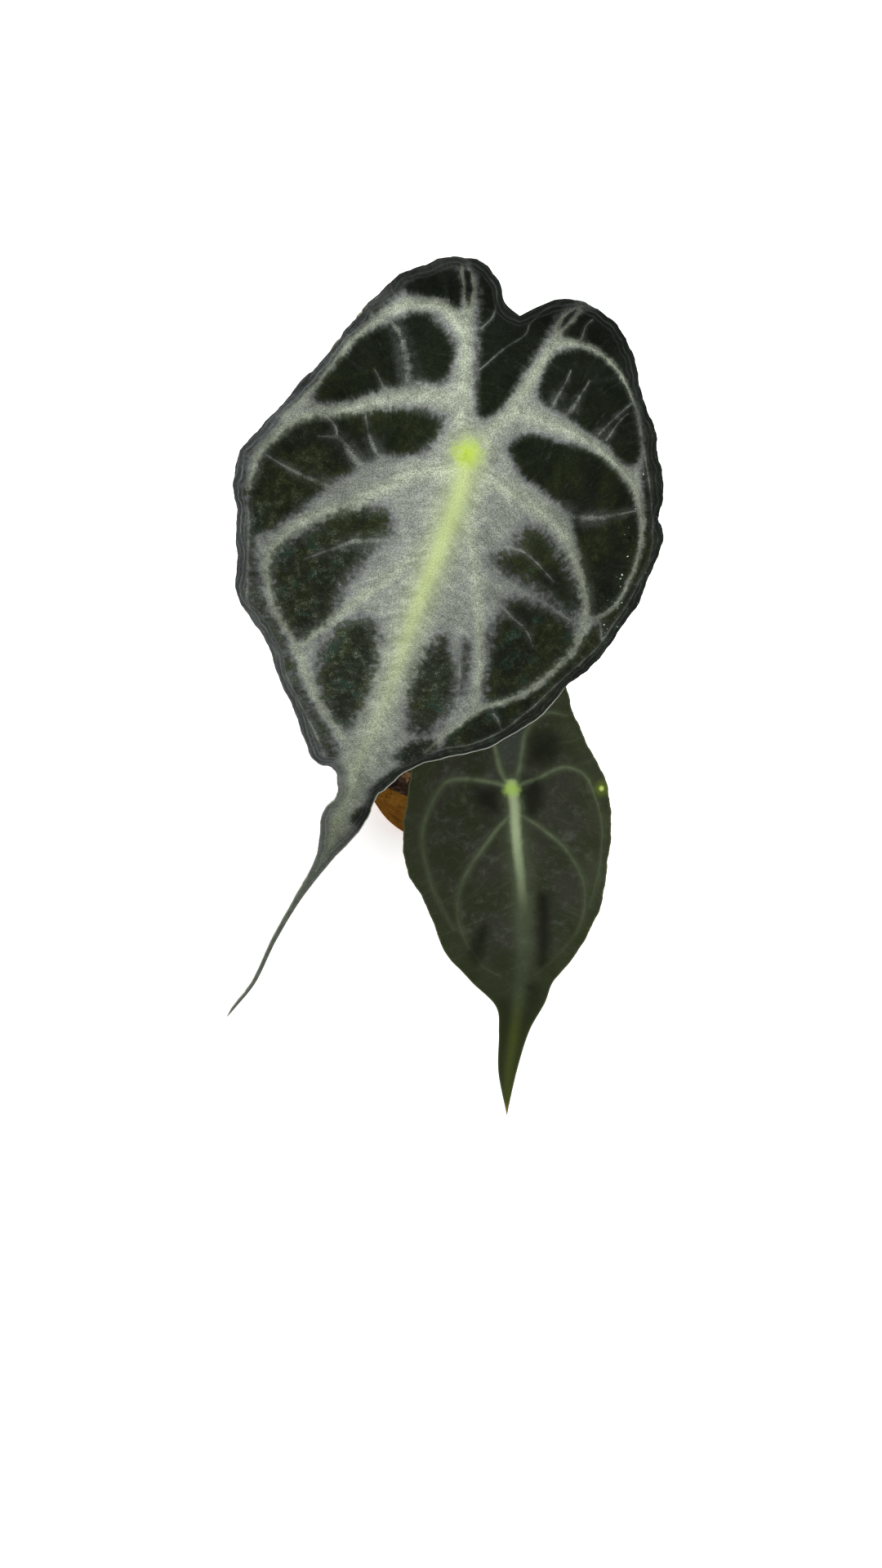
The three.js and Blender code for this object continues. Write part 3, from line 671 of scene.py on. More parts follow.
# Veins: half width at the start and at the end, then places
LARGE["ribs"] = {
    "midrib": (2.9, 1.0, [(0, -1), (1, 11), (0.4, 26), (-0.6, 44), (-0.8, 62), (-1.4, 78), (-2.6, 90),
        (-3.2, 106), (-3.6, 121), (-7, 137.5), (-9.2, 154), (-10.7, 171), (-14.6, 186)]),
    "basal left": (1.3, 0.6, [(0, 0), (-4.3, -9.8), (-6.5, -19), (-9.7, -31)]),
    "basal left a": (0.5, 0.2, [(-9.7, -31), (-11.6, -36), (-13, -39.5), (-14.6, -43)]),
    "basal left b": (0.45, 0.2, [(-9.6, -31), (-9.6, -36), (-10.6, -40), (-13, -43.5)]),
    "basal right": (1.3, 0.6, [(0, 0), (2.6, -4.2), (7, -12), (9.4, -21), (12.9, -33.4)]),
    "basal right a": (0.4, 0.15, [(12.7, -33.4), (12.4, -37), (13.5, -40), (16.5, -42.5)]),
    "basal right b": (0.45, 0.2, [(12.9, -33.4), (15, -37.5), (17.3, -42.5)]),
    "left a": (0.8, 0.35, [(-9.7, -28), (-12, -30.5), (-17, -32.6), (-25.5, -29.8), (-31.7, -23.5),
        (-37.2, -14.4), (-41.2, -4), (-47, 6)]),
    "left b": (1.1, 0.4, [(-5.8, -11.8), (-17.4, -9.9), (-30.5, -2.1), (-43.4, 6), (-50, 17),
        (-50.2, 27)]),
    "left c": (1.2, 0.45, [(-0.5, 3.8), (-12.5, 9.9), (-24.2, 20.8), (-34.3, 29.4), (-40.6, 40.2),
        (-37.2, 51.4), (-27.5, 62.4)]),
    "left d": (1.1, 0.45, [(-0.2, 18.4), (-7.7, 33.2), (-20.2, 51.8), (-26, 61.6)]),
    "left foot": (0.7, 0.5, [(-27.5, 62.4), (-16, 77), (-5.3, 85.4)]),
    "right a": (0.7, 0.15, [(12.9, -31.8), (16, -33.2), (20, -33.6), (25, -32.6), (30, -30.1),
        (34, -26.5), (37.9, -22.3)]),
    "right b": (0.85, 0.3, [(7.9, -13.3), (17.7, -13.1), (28.6, -11), (39.7, -5.8), (46.2, 0.1),
        (49.6, 7), (51, 14), (51.2, 21), (49, 30), (44.3, 35.3)]),
    "right c": (1.2, 0.35, [(2, 2.8), (8.6, 4.8), (17.7, 7.4), (29, 12.3), (38, 22.6), (43, 33),
        (42.2, 44.4), (33.6, 57.9), (24.8, 64.4), (17.7, 73.7), (13.5, 81.5)]),
    "right d": (1.0, 0.4, [(3.9, 12.7), (12.6, 32.7), (20.2, 54.2), (22.3, 66)]),
}
LARGE["fine"] = [
    (1.0, 0.45, [(-18.3, -12), (-20.3, -16), (-22, -19.3), (-24, -22.4), (-26.5, -24.6), (-30, -25.8)]),
    (0.6, 0.15, [(-22.5, -6.5), (-25.2, -10), (-28.2, -13)]),
    (0.45, 0.2, [(-37, 2), (-34, 3.2), (-32.3, 5.5)]),
    (0.9, 0.22, [(-27, 19.5), (-31.5, 18.6), (-39.4, 18.2), (-48.4, 16.5)]),
    (1.1, 0.25, [(-23, 12.3), (-26, 10), (-29.3, 7.6), (-32, 6.1), (-37, 7.6)]),
    (0.9, 0.2, [(-19, 8.5), (-22, 6.3), (-24.2, 3.8), (-25.8, 1.2), (-27.3, -2)]),
    (0.8, 0.25, [(-11, 26.5), (-14.8, 27.7), (-21.4, 30.4), (-25.4, 33.8), (-31.7, 38.8)]),
    (0.7, 0.1, [(16.6, -16.5), (17.6, -20), (18.5, -24), (18.8, -27)]),
    (0.8, 0.1, [(20.8, -15.2), (22.3, -19), (23.1, -22), (24.1, -25.5)]),
    (0.5, 0.1, [(30.6, -13.6), (32.7, -17.5), (34.7, -21), (36.4, -23.6)]),
    (0.35, 0.1, [(33, -12.5), (34.6, -17.3), (36.2, -20.5)]),
    (0.13, 0.1, [(-3.5, -20.2), (0.8, -27.1), (5, -32), (5.6, -35.2), (8.5, -39.7), (11.4, -42)]),
    (0.2, 0.12, [(-5.8, -30.4), (-3.9, -33.9), (-4, -37.5), (-5.1, -40.6), (-7.2, -42.4)]),
    (1.0, 0.3, [(27, 8.9), (31, 8.3), (37.2, 7.1), (42, 5.2), (46.5, 3.2)]),
    (0.5, 0.2, [(9.5, 20.5), (14, 20.6), (20.2, 20), (25.1, 22), (31.5, 26.1)]),
    (0.9, 0.25, [(13, 25.5), (22.5, 29.9), (30.5, 32.3), (38.6, 35.2), (43.4, 38)]),
    (0.6, 0.2, [(17.5, 33.5), (23.5, 37.7), (28.3, 40.3), (31.7, 44.3)]),
    (0.5, 0.3, [(8.2, 44.4), (13.1, 50.1), (15.9, 57.8), (17.5, 66)]),
    (0.3, 0.15, [(19, -33.6), (19.1, -38), (20.2, -39.9)]),
    (0.25, 0.2, [(27.5, 65.5), (29.6, 67.4), (31, 69.6)]),
    (0.6, 0.22, [(44, 35.2), (46.5, 34.3), (48, 36.5), (49.1, 39.5)]),
    (0.24, 0.2, [(37.9, -22.3), (43.3, -12.2), (48.7, -1.8), (53.2, 9), (54.1, 19), (51.2, 33),
        (49.1, 40), (46.2, 44.8), (44, 50), (40.3, 56), (36, 63), (31.5, 70), (26, 74.6), (19, 78),
        (14, 82)]),
    (0.35, 0.4, [(-32, -30), (-40, -18), (-44.5, -6), (-49, 8), (-51.4, 22), (-47.4, 36.3),
        (-43.9, 50.8), (-41.7, 56.3), (-31.9, 65.8), (-22, 77.8), (-11.5, 90)]),
]
# Dark ground between the veins: softness of its edge, depth of its colour, then its outline
LARGE["islands"] = [
    (1.5, 1, [(-27.5, -33), (-24, -38.5), (-17.5, -42), (-13.5, -40), (-12.1, -35), (-13, -33),
        (-17.5, -34.2), (-23, -33.1)]),
    (0.7, 0.95, [(-13.9, -42.3), (-12.2, -42), (-10.5, -38.5), (-10.5, -34.5), (-12.5, -38.5)]),
    (0.6, 0.95, [(13, -35.5), (14.1, -37.6), (15.7, -41.3), (13.9, -39.8), (12.9, -37.5)]),
    (1.9, 1, [(-28, -25.2), (-21, -30), (-17, -29), (-11, -25), (-10, -19), (-11.5, -14.5), (-15.5, -14),
        (-18, -12), (-25, -8.5), (-33.5, -2.5), (-39.5, -0.5), (-40.8, -4), (-37.8, -12), (-33.6, -20)]),
    (1.8, 1, [(-1.5, -12), (1, -9.5), (5.5, -14.5), (8.5, -26), (10.8, -34.5), (12.3, -40), (14.5, -43),
        (12, -48), (2, -44), (-2.5, -48), (-13.5, -47), (-10, -41), (-7.9, -35), (-4.5, -23)]),
    (0.9, 1, [(14, -34.4), (16, -39), (18.5, -42), (25, -42), (30.5, -37.5), (34, -31), (38, -23.3),
        (35.3, -25.6), (31.7, -29.2), (27.8, -31.9), (22.5, -34.3)]),
    (1.3, 1, [(12, -25.5), (13.2, -29), (17, -31.6), (21, -32.7), (26, -31.9), (30.3, -29.5),
        (34, -26.3), (37.5, -22), (40.6, -16.6), (42.6, -12), (42.2, -8.5), (38.5, -8), (33.5, -11.3),
        (28, -13.2), (21, -15.9), (15, -17.3), (12, -20.5)]),
    (2.2, 1, [(-48.9, 15.5), (-42.5, 5), (-29, -1.8), (-15.5, -7), (-8.5, -6), (-8.8, -1.5), (-13, 4),
        (-20.5, 7), (-25.5, 12), (-30, 17), (-35, 25), (-43, 36), (-47.5, 37.5), (-50.3, 24.5)]),
    (1.6, 1, [(9.6, -4), (13, -9), (21.5, -9.3), (33, -8.3), (43, -2), (48.7, 7), (50.5, 14), (50.7, 21),
        (48.2, 30), (44, 33), (41, 27.5), (33.5, 14), (29.5, 7.7), (23, 4.5), (13.5, 0.5)]),
    (3.4, 0.9, [(-35.8, 34), (-30, 26.7), (-25.5, 22.2), (-20, 20), (-14, 20.5), (-13.5, 25),
        (-16, 31.5), (-19, 39), (-20.5, 45), (-20.5, 51), (-23.5, 57), (-28, 60), (-33, 56.5),
        (-37.8, 50), (-39.8, 43.5), (-39.6, 38)]),
    (3, 0.88, [(-18.7, 54), (-14, 49.5), (-9, 50), (-6.3, 57), (-5.8, 66), (-6, 74), (-8.3, 80),
        (-12, 79.5), (-17, 74), (-20.5, 66.5), (-20.5, 60)]),
    (3.6, 0.88, [(20, 14), (25, 13.6), (33, 20), (39.6, 27.5), (41.2, 33), (36, 33.5), (25.5, 28.8),
        (17.5, 26.8), (14.6, 23.5), (18.5, 20)]),
    (3.2, 1, [(20.8, 34), (27, 32.3), (36, 34.8), (42.3, 38.8), (41.3, 46), (35.5, 55), (29, 61.5),
        (24.5, 62.2), (22, 55), (20, 42)]),
    (3, 0.85, [(3.1, 62), (4.5, 54), (8.2, 47.5), (13.5, 54.5), (16.2, 62), (15, 70), (11.5, 76.3),
        (6.5, 74)]),
    (2, 0.8, [(13.8, 47), (15.5, 48), (17.3, 55), (18, 62), (16.3, 60), (15, 52)]),
    (1.8, 1, [(6.2, 85), (9.5, 79), (15.5, 77), (15.5, 81.5), (9, 88)]),
    (1.4, 0.62, [(-14, -44), (-22, -37.6), (-27.4, -31.4), (-32.4, -24.4), (-36.6, -16), (-39, -10),
        (-41.6, -4), (-44.6, 1.5), (-49.6, 10), (-51.8, 17), (-51.6, 24), (-49.3, 31), (-45.5, 38.5),
        (-42.6, 45.5), (-39.5, 51.8), (-35.5, 56.9), (-29, 63.5), (-23.5, 71.5), (-17.5, 78.6),
        (-12.5, 83), (-9.5, 91), (-30, 100), (-62, 60), (-75, 10), (-55, -35), (-18, -60)]),
    (1.2, 1, [(20, -48), (29, -38), (33, -30.5), (38.4, -22.4), (43.2, -12.4), (45.2, -5.5), (48, 0.5),
        (50.5, 7.5), (51.5, 14), (51.6, 21.5), (49.6, 29.5), (47, 34.5), (44.2, 38.6), (43, 45),
        (40.7, 49.8), (38.2, 54.4), (34.5, 58.6), (30, 62.3), (25, 65), (21.5, 69), (17.8, 74),
        (17.4, 78.5), (10.5, 86.7), (6.5, 89.4), (4.3, 92), (3.2, 95.5), (3, 101), (1.6, 108), (30, 112),
        (60, 60), (75, 10), (60, -40)]),
]
SMALL["ribs"] = {
    "midrib": (1.5, 1.2, [(0, -1.4), (1, 5), (1.3, 11), (2, 19), (3, 27), (4, 40), (4, 52), (2.6, 67),
        (1.1, 81), (0.2, 92), (-0.1, 104)]),
    "basal left": (0.6, 0.3, [(-0.4, -1), (-3.3, -6.2), (-5.9, -17.9), (-9, -29.8)]),
    "basal right": (0.6, 0.3, [(0.6, -1), (2.5, -6.6), (4.3, -16.7), (9.7, -21.8), (15.8, -21.1)]),
    "left b": (0.52, 0.28, [(-0.5, -0.6), (-6.5, -2.1), (-14.3, -2.7), (-20.2, 0.3), (-25.6, 14.2),
        (-22.5, 30.7), (-16.3, 43.3)]),
    "left c": (0.46, 0.3, [(0.2, 7), (-5.3, 13.8), (-13.7, 27.6), (-14.9, 40.4), (-8.9, 53.1),
        (-2.4, 57.6)]),
    "right b": (0.52, 0.28, [(0.5, -0.6), (8, -3.2), (12, -5.3), (16.5, -6), (21.4, -3.2), (25.3, 5.4)]),
    "right c": (0.42, 0.26, [(2.2, 7), (9, 11.7), (17, 19.5), (21.9, 31), (19.1, 44.9), (7.5, 57.1)]),
    "right border": (0.3, 0.26, [(25.3, 5.4), (26.7, 14), (25.7, 26.2), (23.2, 36.1)]),
}
SMALL["fine"] = []
SMALL["islands"] = [
    (3, 1, [(3.2, -3), (8, -2), (9, 4), (6, 7.5), (3.4, 4)]),
    (3, 0.95, [(-3.5, 0.5), (-10, 0), (-9, 5), (-3, 6.5)]),
    (2.2, 1, [(7.8, 33), (11, 33), (11.5, 45), (10.5, 54), (8, 52)]),
    (2.2, 0.9, [(-9, 43), (-6.8, 42), (-7.5, 49), (-9.5, 54), (-12, 50)]),
    (2.5, 0.9, [(-3.5, 67), (-0.5, 66), (1, 72), (0, 80), (-3, 81)]),
    (2.5, 0.8, [(5.5, 61), (9, 62), (7.5, 69), (4.5, 74)]),
    (3.5, 0.85, [(5.5, -7.5), (7, -15), (13, -15), (12, -8)]),
]
# Places above the basal ribs, from which the grain of each half of a blade streams down
LARGE["leads"] = {"basal left": [(-12, -42)], "basal right": [(15, -41)]}
SMALL["leads"] = {"basal left": [], "basal right": []}
SILVER = (
    (0.0, (0.216, 0.235, 0.2)),
    (0.3, (0.16, 0.17, 0.162)),
    (0.5, (0.087, 0.092, 0.088)),
    (0.68, (0.025, 0.03, 0.022)),
    (0.92, (0.0056, 0.008, 0.0045)),
)
ISLAND_OLIVE = (0.021, 0.027, 0.008)
# Painted sheen: the teal stands for the satin highlight on the lower islands, and partly for their own
# teal bloom
ISLAND_TEAL_SHEEN = (0.013, 0.031, 0.021)
ISLAND_DUST = (0.085, 0.095, 0.072)
VEIN_PALE = (0.30, 0.335, 0.25)
VEIN_HALO = (0.09, 0.096, 0.09)
FINE_PALE = (0.16, 0.178, 0.15)
LIME = (0.36, 0.49, 0.05)
LIME_DEEP = (0.3, 0.4, 0.06)
LIME_PALE = (0.37, 0.46, 0.15)
LIME_WHITE = (0.53, 0.62, 0.28)
FLECK_PALE = (0.5, 0.52, 0.45)
SLATE = (0.037, 0.041, 0.043)
SLATE_BLACK = (0.0075, 0.009, 0.0075)
MARGIN_PALE = (0.13, 0.14, 0.132)
MARGIN_LINES = ((0.35, 0.35, 0.35), (1.5, 0.28, 0.6), (2.5, 0.22, 0.4))
FOLD_SPACING = 1.25
# Painted highlight: pale for the lit cut edge along the lower margin
EDGE_HIGHLIGHT_PALE = (0.42, 0.43, 0.38)
OLIVE_DARK = (0.015, 0.019, 0.008)
OLIVE_GREY = (0.021, 0.022, 0.0145)
OUTER_OLIVE = (0.0195, 0.025, 0.0075)
LOWER_OLIVE = (0.012, 0.017, 0.004)
BLOOM_GREY = (0.062, 0.067, 0.056)
TEAL_GREY = (0.034, 0.042, 0.036)
STREAK_GREY = (0.045, 0.052, 0.03)
SPECK_GREY = (0.12, 0.13, 0.1)
NEAR_BLACK = (0.004, 0.005, 0.002)
VEIN_SHADOW = (0.055, 0.07, 0.036)
VEIN_SAGE = (0.11, 0.145, 0.08)
MIDRIB_WASH = (0.06, 0.082, 0.042)
MIDRIB_SAGE = (0.26, 0.32, 0.185)
TAIL_OLIVE = (0.036, 0.046, 0.005)
TAIL_DARK = (0.014, 0.018, 0.004)
TIP_BROWN = (0.16, 0.1, 0.03)
HUB_GREEN = (0.28, 0.42, 0.08)
RIM_GREEN = (0.1, 0.12, 0.05)
SPOT = (26, 0.8)
SPOT_HALO = (0.08, 0.115, 0.012)
SPOT_PALE = (0.38, 0.5, 0.12)
UNDER_GREEN = (0.12, 0.15, 0.1)
UNDER_PLUM = (0.15, 0.1, 0.11)
UNDER_NET = (0.2, 0.22, 0.16)
UNDER_SPECK = (0.26, 0.27, 0.22)
UNDER_RIB = (0.34, 0.38, 0.2)
UNDER_VEIN = (0.28, 0.3, 0.2)
EDGE_GREEN = (0.1, 0.12, 0.08)
EDGE_PALE = (0.4, 0.4, 0.3)


def spline(places, steps):
    """Smooth line through the places, with the same number of steps between each pair."""
    p = np.array(places, float)
    p = np.vstack([p[0], p, p[-1]])
    t = np.linspace(0, 1, steps, endpoint=False)[:, None]
    line = []
    for a, b, c, d in zip(p, p[1:], p[2:], p[3:]):
        v0, v1 = (c - a) / 2, (d - b) / 2
        bent = (2 * b - 2 * c + v0 + v1) * t ** 3 + (3 * c - 3 * b - 2 * v0 - v1) * t ** 2
        line.append(bent + v0 * t + b)
    return np.vstack([*line, p[-1:]])


def closed_spline(places, steps):
    """Smooth closed line through the places."""
    return spline([*places[-2:], *places, *places[:2]], steps)[2 * steps:-2 * steps - 1]


def reached(line):
    """How far along a line each of its points lies."""
    return np.concatenate([[0], np.cumsum(np.linalg.norm(np.diff(line, axis=0), axis=1))])


def nearest(points, line, closed=False):
    """Distance from each point to a line, and how far along the line the nearest place lies."""
    starts = line if closed else line[:-1]
    ways = (np.roll(line, -1, axis=0) if closed else line[1:]) - starts
    lengths = np.maximum(np.linalg.norm(ways, axis=1), 1e-9)
    before = np.concatenate([[0], np.cumsum(lengths)])
    distance, along = np.empty(len(points)), np.empty(len(points))
    for first in range(0, len(points), BATCH):
        part = points[first:first + BATCH]
        off = part[:, None] - starts[None]
        share = np.clip((off * ways).sum(axis=2) / lengths ** 2, 0, 1)
        gap = np.linalg.norm(off - share[..., None] * ways, axis=2)
        best = gap.argmin(axis=1)
        row = np.arange(len(part))
        distance[first:first + BATCH] = gap[row, best]
        along[first:first + BATCH] = before[best] + share[row, best] * lengths[best]
    return distance, along


def within(points, loop):
    """Which points lie inside a closed line."""
    ends = np.roll(loop, -1, axis=0)
    found = np.zeros(len(points), bool)
    for first in range(0, len(points), BATCH):
        x, y = points[first:first + BATCH, :1], points[first:first + BATCH, 1:]
        crossed = (loop[:, 1] > y) != (ends[:, 1] > y)
        rise = np.where(ends[:, 1] == loop[:, 1], 1, ends[:, 1] - loop[:, 1])
        at = loop[:, 0] + (y - loop[:, 1]) * (ends[:, 0] - loop[:, 0]) / rise
        found[first:first + BATCH] = (crossed & (x < at)).sum(axis=1) % 2 == 1
    return found


def margins(blade):
    """The blade's left and right margins, finely waved, from the notch to the tip."""
    rows = np.array(blade["rows"])
    lines = []
    for side, column in ((-1, 2), (1, 4)):
        line = spline(rows[:, column:column + 2], MARGIN_STEPS)
        way = np.gradient(line, axis=0)
        out = side * np.column_stack([way[:, 1], -way[:, 0]])
        out /= np.maximum(np.linalg.norm(out, axis=1, keepdims=True), 1e-9)
        row = np.arange(len(line)) / MARGIN_STEPS
        broad = smoothstep(row, 1, 3) * (1 - smoothstep(row, len(rows) - 8, len(rows) - 5))
        wave = 0.16 * np.sin(5.3 * row + side) + 0.1 * np.sin(11.9 * row + 2) + 0.05 * np.sin(29 * row)
        lines.append(line + out * (wave * broad * blade["ruffle"])[:, None])
    return lines


def flat_blade(blade, spacing):
    """The blade's outline filled with triangles whose edges follow the veins."""
    left, right = margins(blade)
    loop = np.vstack([left, right[-2:0:-1]])
    low, high = loop.min(axis=0), loop.max(axis=0)
    across = np.arange(low[0], high[0], spacing)
    down = np.arange(low[1], high[1], spacing * math.sqrt(3) / 2)
    grid = np.array([(u + (k % 2) * spacing / 2, v) for k, v in enumerate(down) for u in across])
    grid = grid + spacing * 0.12 * rng.normal(size=grid.shape)
    grid = grid[within(grid, loop)]
    grid = grid[nearest(grid, loop, closed=True)[0] > 0.45 * spacing]
    points, edges = [loop], []
    count = len(loop)
    for vein in [*blade["ribs"].values(), *blade["fine"]]:
        line = spline(vein[2], VEIN_STEPS)
        line = line[within(line, loop)]
        grid = grid[nearest(grid, line)[0] >= 0.4 * spacing]
        kept = [line[0]]
        for place in line[1:]:
            if math.dist(place, kept[-1]) > 0.5 * spacing:
                kept.append(place)
        kept = np.array(kept)
        kept = kept[nearest(kept, loop, closed=True)[0] > 0.3 * spacing]
        points.append(kept)
        edges += [(count + k, count + k + 1) for k in range(len(kept) - 1)]
        count += len(kept)
    points.append(grid)
    places = [Vector(place) for place in np.vstack(points).tolist()]
    made = geometry.delaunay_2d_cdt(places, edges, [list(range(len(loop)))], 1, 0.02)
    return np.array([tuple(place) for place in made[0]]), [list(face) for face in made[2]], (left, right)


def midrib_at(blade, down):
    rows = np.array(blade["rows"])
    return np.interp(down, rows[:, 1], rows[:, 0])


def close_to(points, line, reach):
    """The numbers of the points in the line's box, grown by reach."""
    low, high = line.min(axis=0) - reach, line.max(axis=0) + reach
    return np.flatnonzero(((points > low) & (points < high)).all(axis=1))


def vein_ratio(points, veins, reach):
    """How many half widths lie between each point and its nearest vein, and that half width."""
    ratio, width = np.full(len(points), float(reach)), np.zeros(len(points))
    for start, end, places in veins:
        line = spline(places, VEIN_STEPS)
        near = close_to(points, line, reach * max(start, end))
        distance, along = nearest(points[near], line)
        half = start + (end - start) * along / reached(line)[-1]
        closer = distance / half < ratio[near]
        ratio[near[closer]] = (distance / half)[closer]
        width[near[closer]] = half[closer]
    return ratio, width


def island_marks(points, islands):
    """Depth into the dark ground, from -1 outside its edges to 1, and the place along the edge."""
    dusk, feather = np.full(len(points), -1.0), np.zeros(len(points))
    for number, (soft, depth, places) in enumerate(islands):
        outline = closed_spline(places, VEIN_STEPS)
        near = close_to(points, outline, soft)
        distance, along = nearest(points[near], outline, closed=True)
        value = np.clip(np.where(within(points[near], outline), distance, -distance) / soft, -1, 1)
        value = np.where(value > 0, value * (2 * depth - 1), value)
        closer = value > dusk[near]
        dusk[near[closer]] = value[closer]
        feather[near[closer]] = along[closer] + 90 * number
    return dusk, feather


def blade_marks(blade, points, sides):
    """Named values for every point of a blade, which its relief and its finish read."""
    ribs = blade["ribs"]
    marks = {"across": points[:, 0], "down": points[:, 1], "hub": np.hypot(points[:, 0], points[:, 1])}
    marks["rib"], marks["width"] = vein_ratio(points, ribs.values(), 5)
    marks["fine"], _ = vein_ratio(points, blade["fine"], 6)
    marks["core"], _ = vein_ratio(points, [ribs["midrib"]], 6)
    marks["dusk"], marks["feather"] = island_marks(points, blade["islands"])
    marks["rim"] = np.minimum(*(nearest(points, side)[0] for side in sides))
    left, right = (
        nearest(points, spline(blade["leads"][rib] + ribs[rib][2][:0:-1] + ribs["midrib"][2], VEIN_STEPS))
        for rib in ("basal left", "basal right")
    )
    on_left = points[:, 0] < midrib_at(blade, points[:, 1])
    marks["apart"] = np.where(on_left, left[0], right[0])
    marks["stream"] = np.where(on_left, left[1], right[1] + 300) - 0.55 * marks["apart"]
    return marks


def ruffle(blade, points, sides):
    """How far the waved margin lifts each point."""
    first, last = blade["ruffle_rows"]
    gaps = []
    for side in sides:
        distance, along = nearest(points, side)
        gaps.append((distance, np.interp(along, reached(side), np.arange(len(side)) / MARGIN_STEPS)))
    is_left = gaps[0][0] < gaps[1][0]
    distance = np.where(is_left, gaps[0][0], gaps[1][0])
    row = np.where(is_left, gaps[0][1], gaps[1][1])
    side = np.where(is_left, -1, 1)
    along = smoothstep(row, first, first + 2) * (1 - smoothstep(row, last - 2, last))
    edge = 1 - smoothstep(distance, 0, blade["ruffle_width"])
    wave = np.sin(3.4 * row + side) + 0.5 * np.sin(2.1 * row + 2 * side)
    crimp = (0.16 * np.sin(7.7 * row + side) + 0.1 * np.sin(13.3 * row)) * (1 - smoothstep(distance, 0, 3))
    return blade["ruffle"] * along * (edge * wave + crimp)


def blade_piece(name, slot, blade, spacing, finishes):
    """One blade: its flat pattern is bent and embossed, thickened, and ribbed beneath."""
    points, faces, sides = flat_blade(blade, spacing)
    marks = blade_marks(blade, points, sides)
    u, v = points[:, 0], points[:, 1]
    slope, bend = blade["bow"]
    height = slope * v + bend * v * v - blade["dome"] * (u - midrib_at(blade, v)) ** 2
    height = height + ruffle(blade, points, sides)
    pillow = blade["pillow"] * (smoothstep(marks["dusk"], -1, 1) - 0.5)
    sunk = 0.3 * (1 - smoothstep(marks["rib"], 0, 2)) + 0.08 * (1 - smoothstep(marks["fine"], 0, 3))
    rolling = 0.3 * np.sin(0.21 * u + 0.9) * np.sin(0.17 * v) + 0.12 * np.sin(0.5 * u - 0.37 * v)
    inner = smoothstep(marks["rim"], 0, 6)
    height = height + (pillow + rolling) * inner - sunk * smoothstep(marks["rim"], 0, 2)
    mesh = bpy.data.meshes.new(name)
    mesh.from_pydata((np.column_stack([u, -v, height]) * MM).tolist(), [], faces)
    piece = bpy.data.objects.new(name, mesh)
    bpy.context.scene.collection.objects.link(piece)
    mesh.update()
    if sum(face.normal.z for face in mesh.polygons[:200]) < 0:
        mesh.flip_normals()
    for finish in finishes:
        mesh.materials.append(finish)
    only(piece)
    apply(piece, "wall", "SOLIDIFY", thickness=BLADE_THICKNESS * MM, offset=0, material_offset=1,
          material_offset_rim=2)
    mesh = piece.data
    placed = points_of(mesh)
    count = len(points)
    hub = 1 - smoothstep(marks["hub"], 0.8 * blade["hub_radius"], 1.7 * blade["hub_radius"])
    ridge = 0.9 * marks["width"] * (1 - smoothstep(marks["rib"], 0.2, 1.5))
    ridge = ridge * smoothstep(marks["rim"], 0, 1.5)
    placed[count:2 * count, 2] -= np.maximum(blade["hub_drop"] * hub, ridge) * MM
    set_points(mesh, placed @ turning(blade).T + np.array(blade["attachment"]) * MM)
    for mark, values in marks.items():
        layer = mesh.attributes.new(mark, "FLOAT", "POINT")
        layer.data.foreach_set("value", np.tile(values, 2).astype(np.float32))
    finished(piece, [slot], smooth=60)


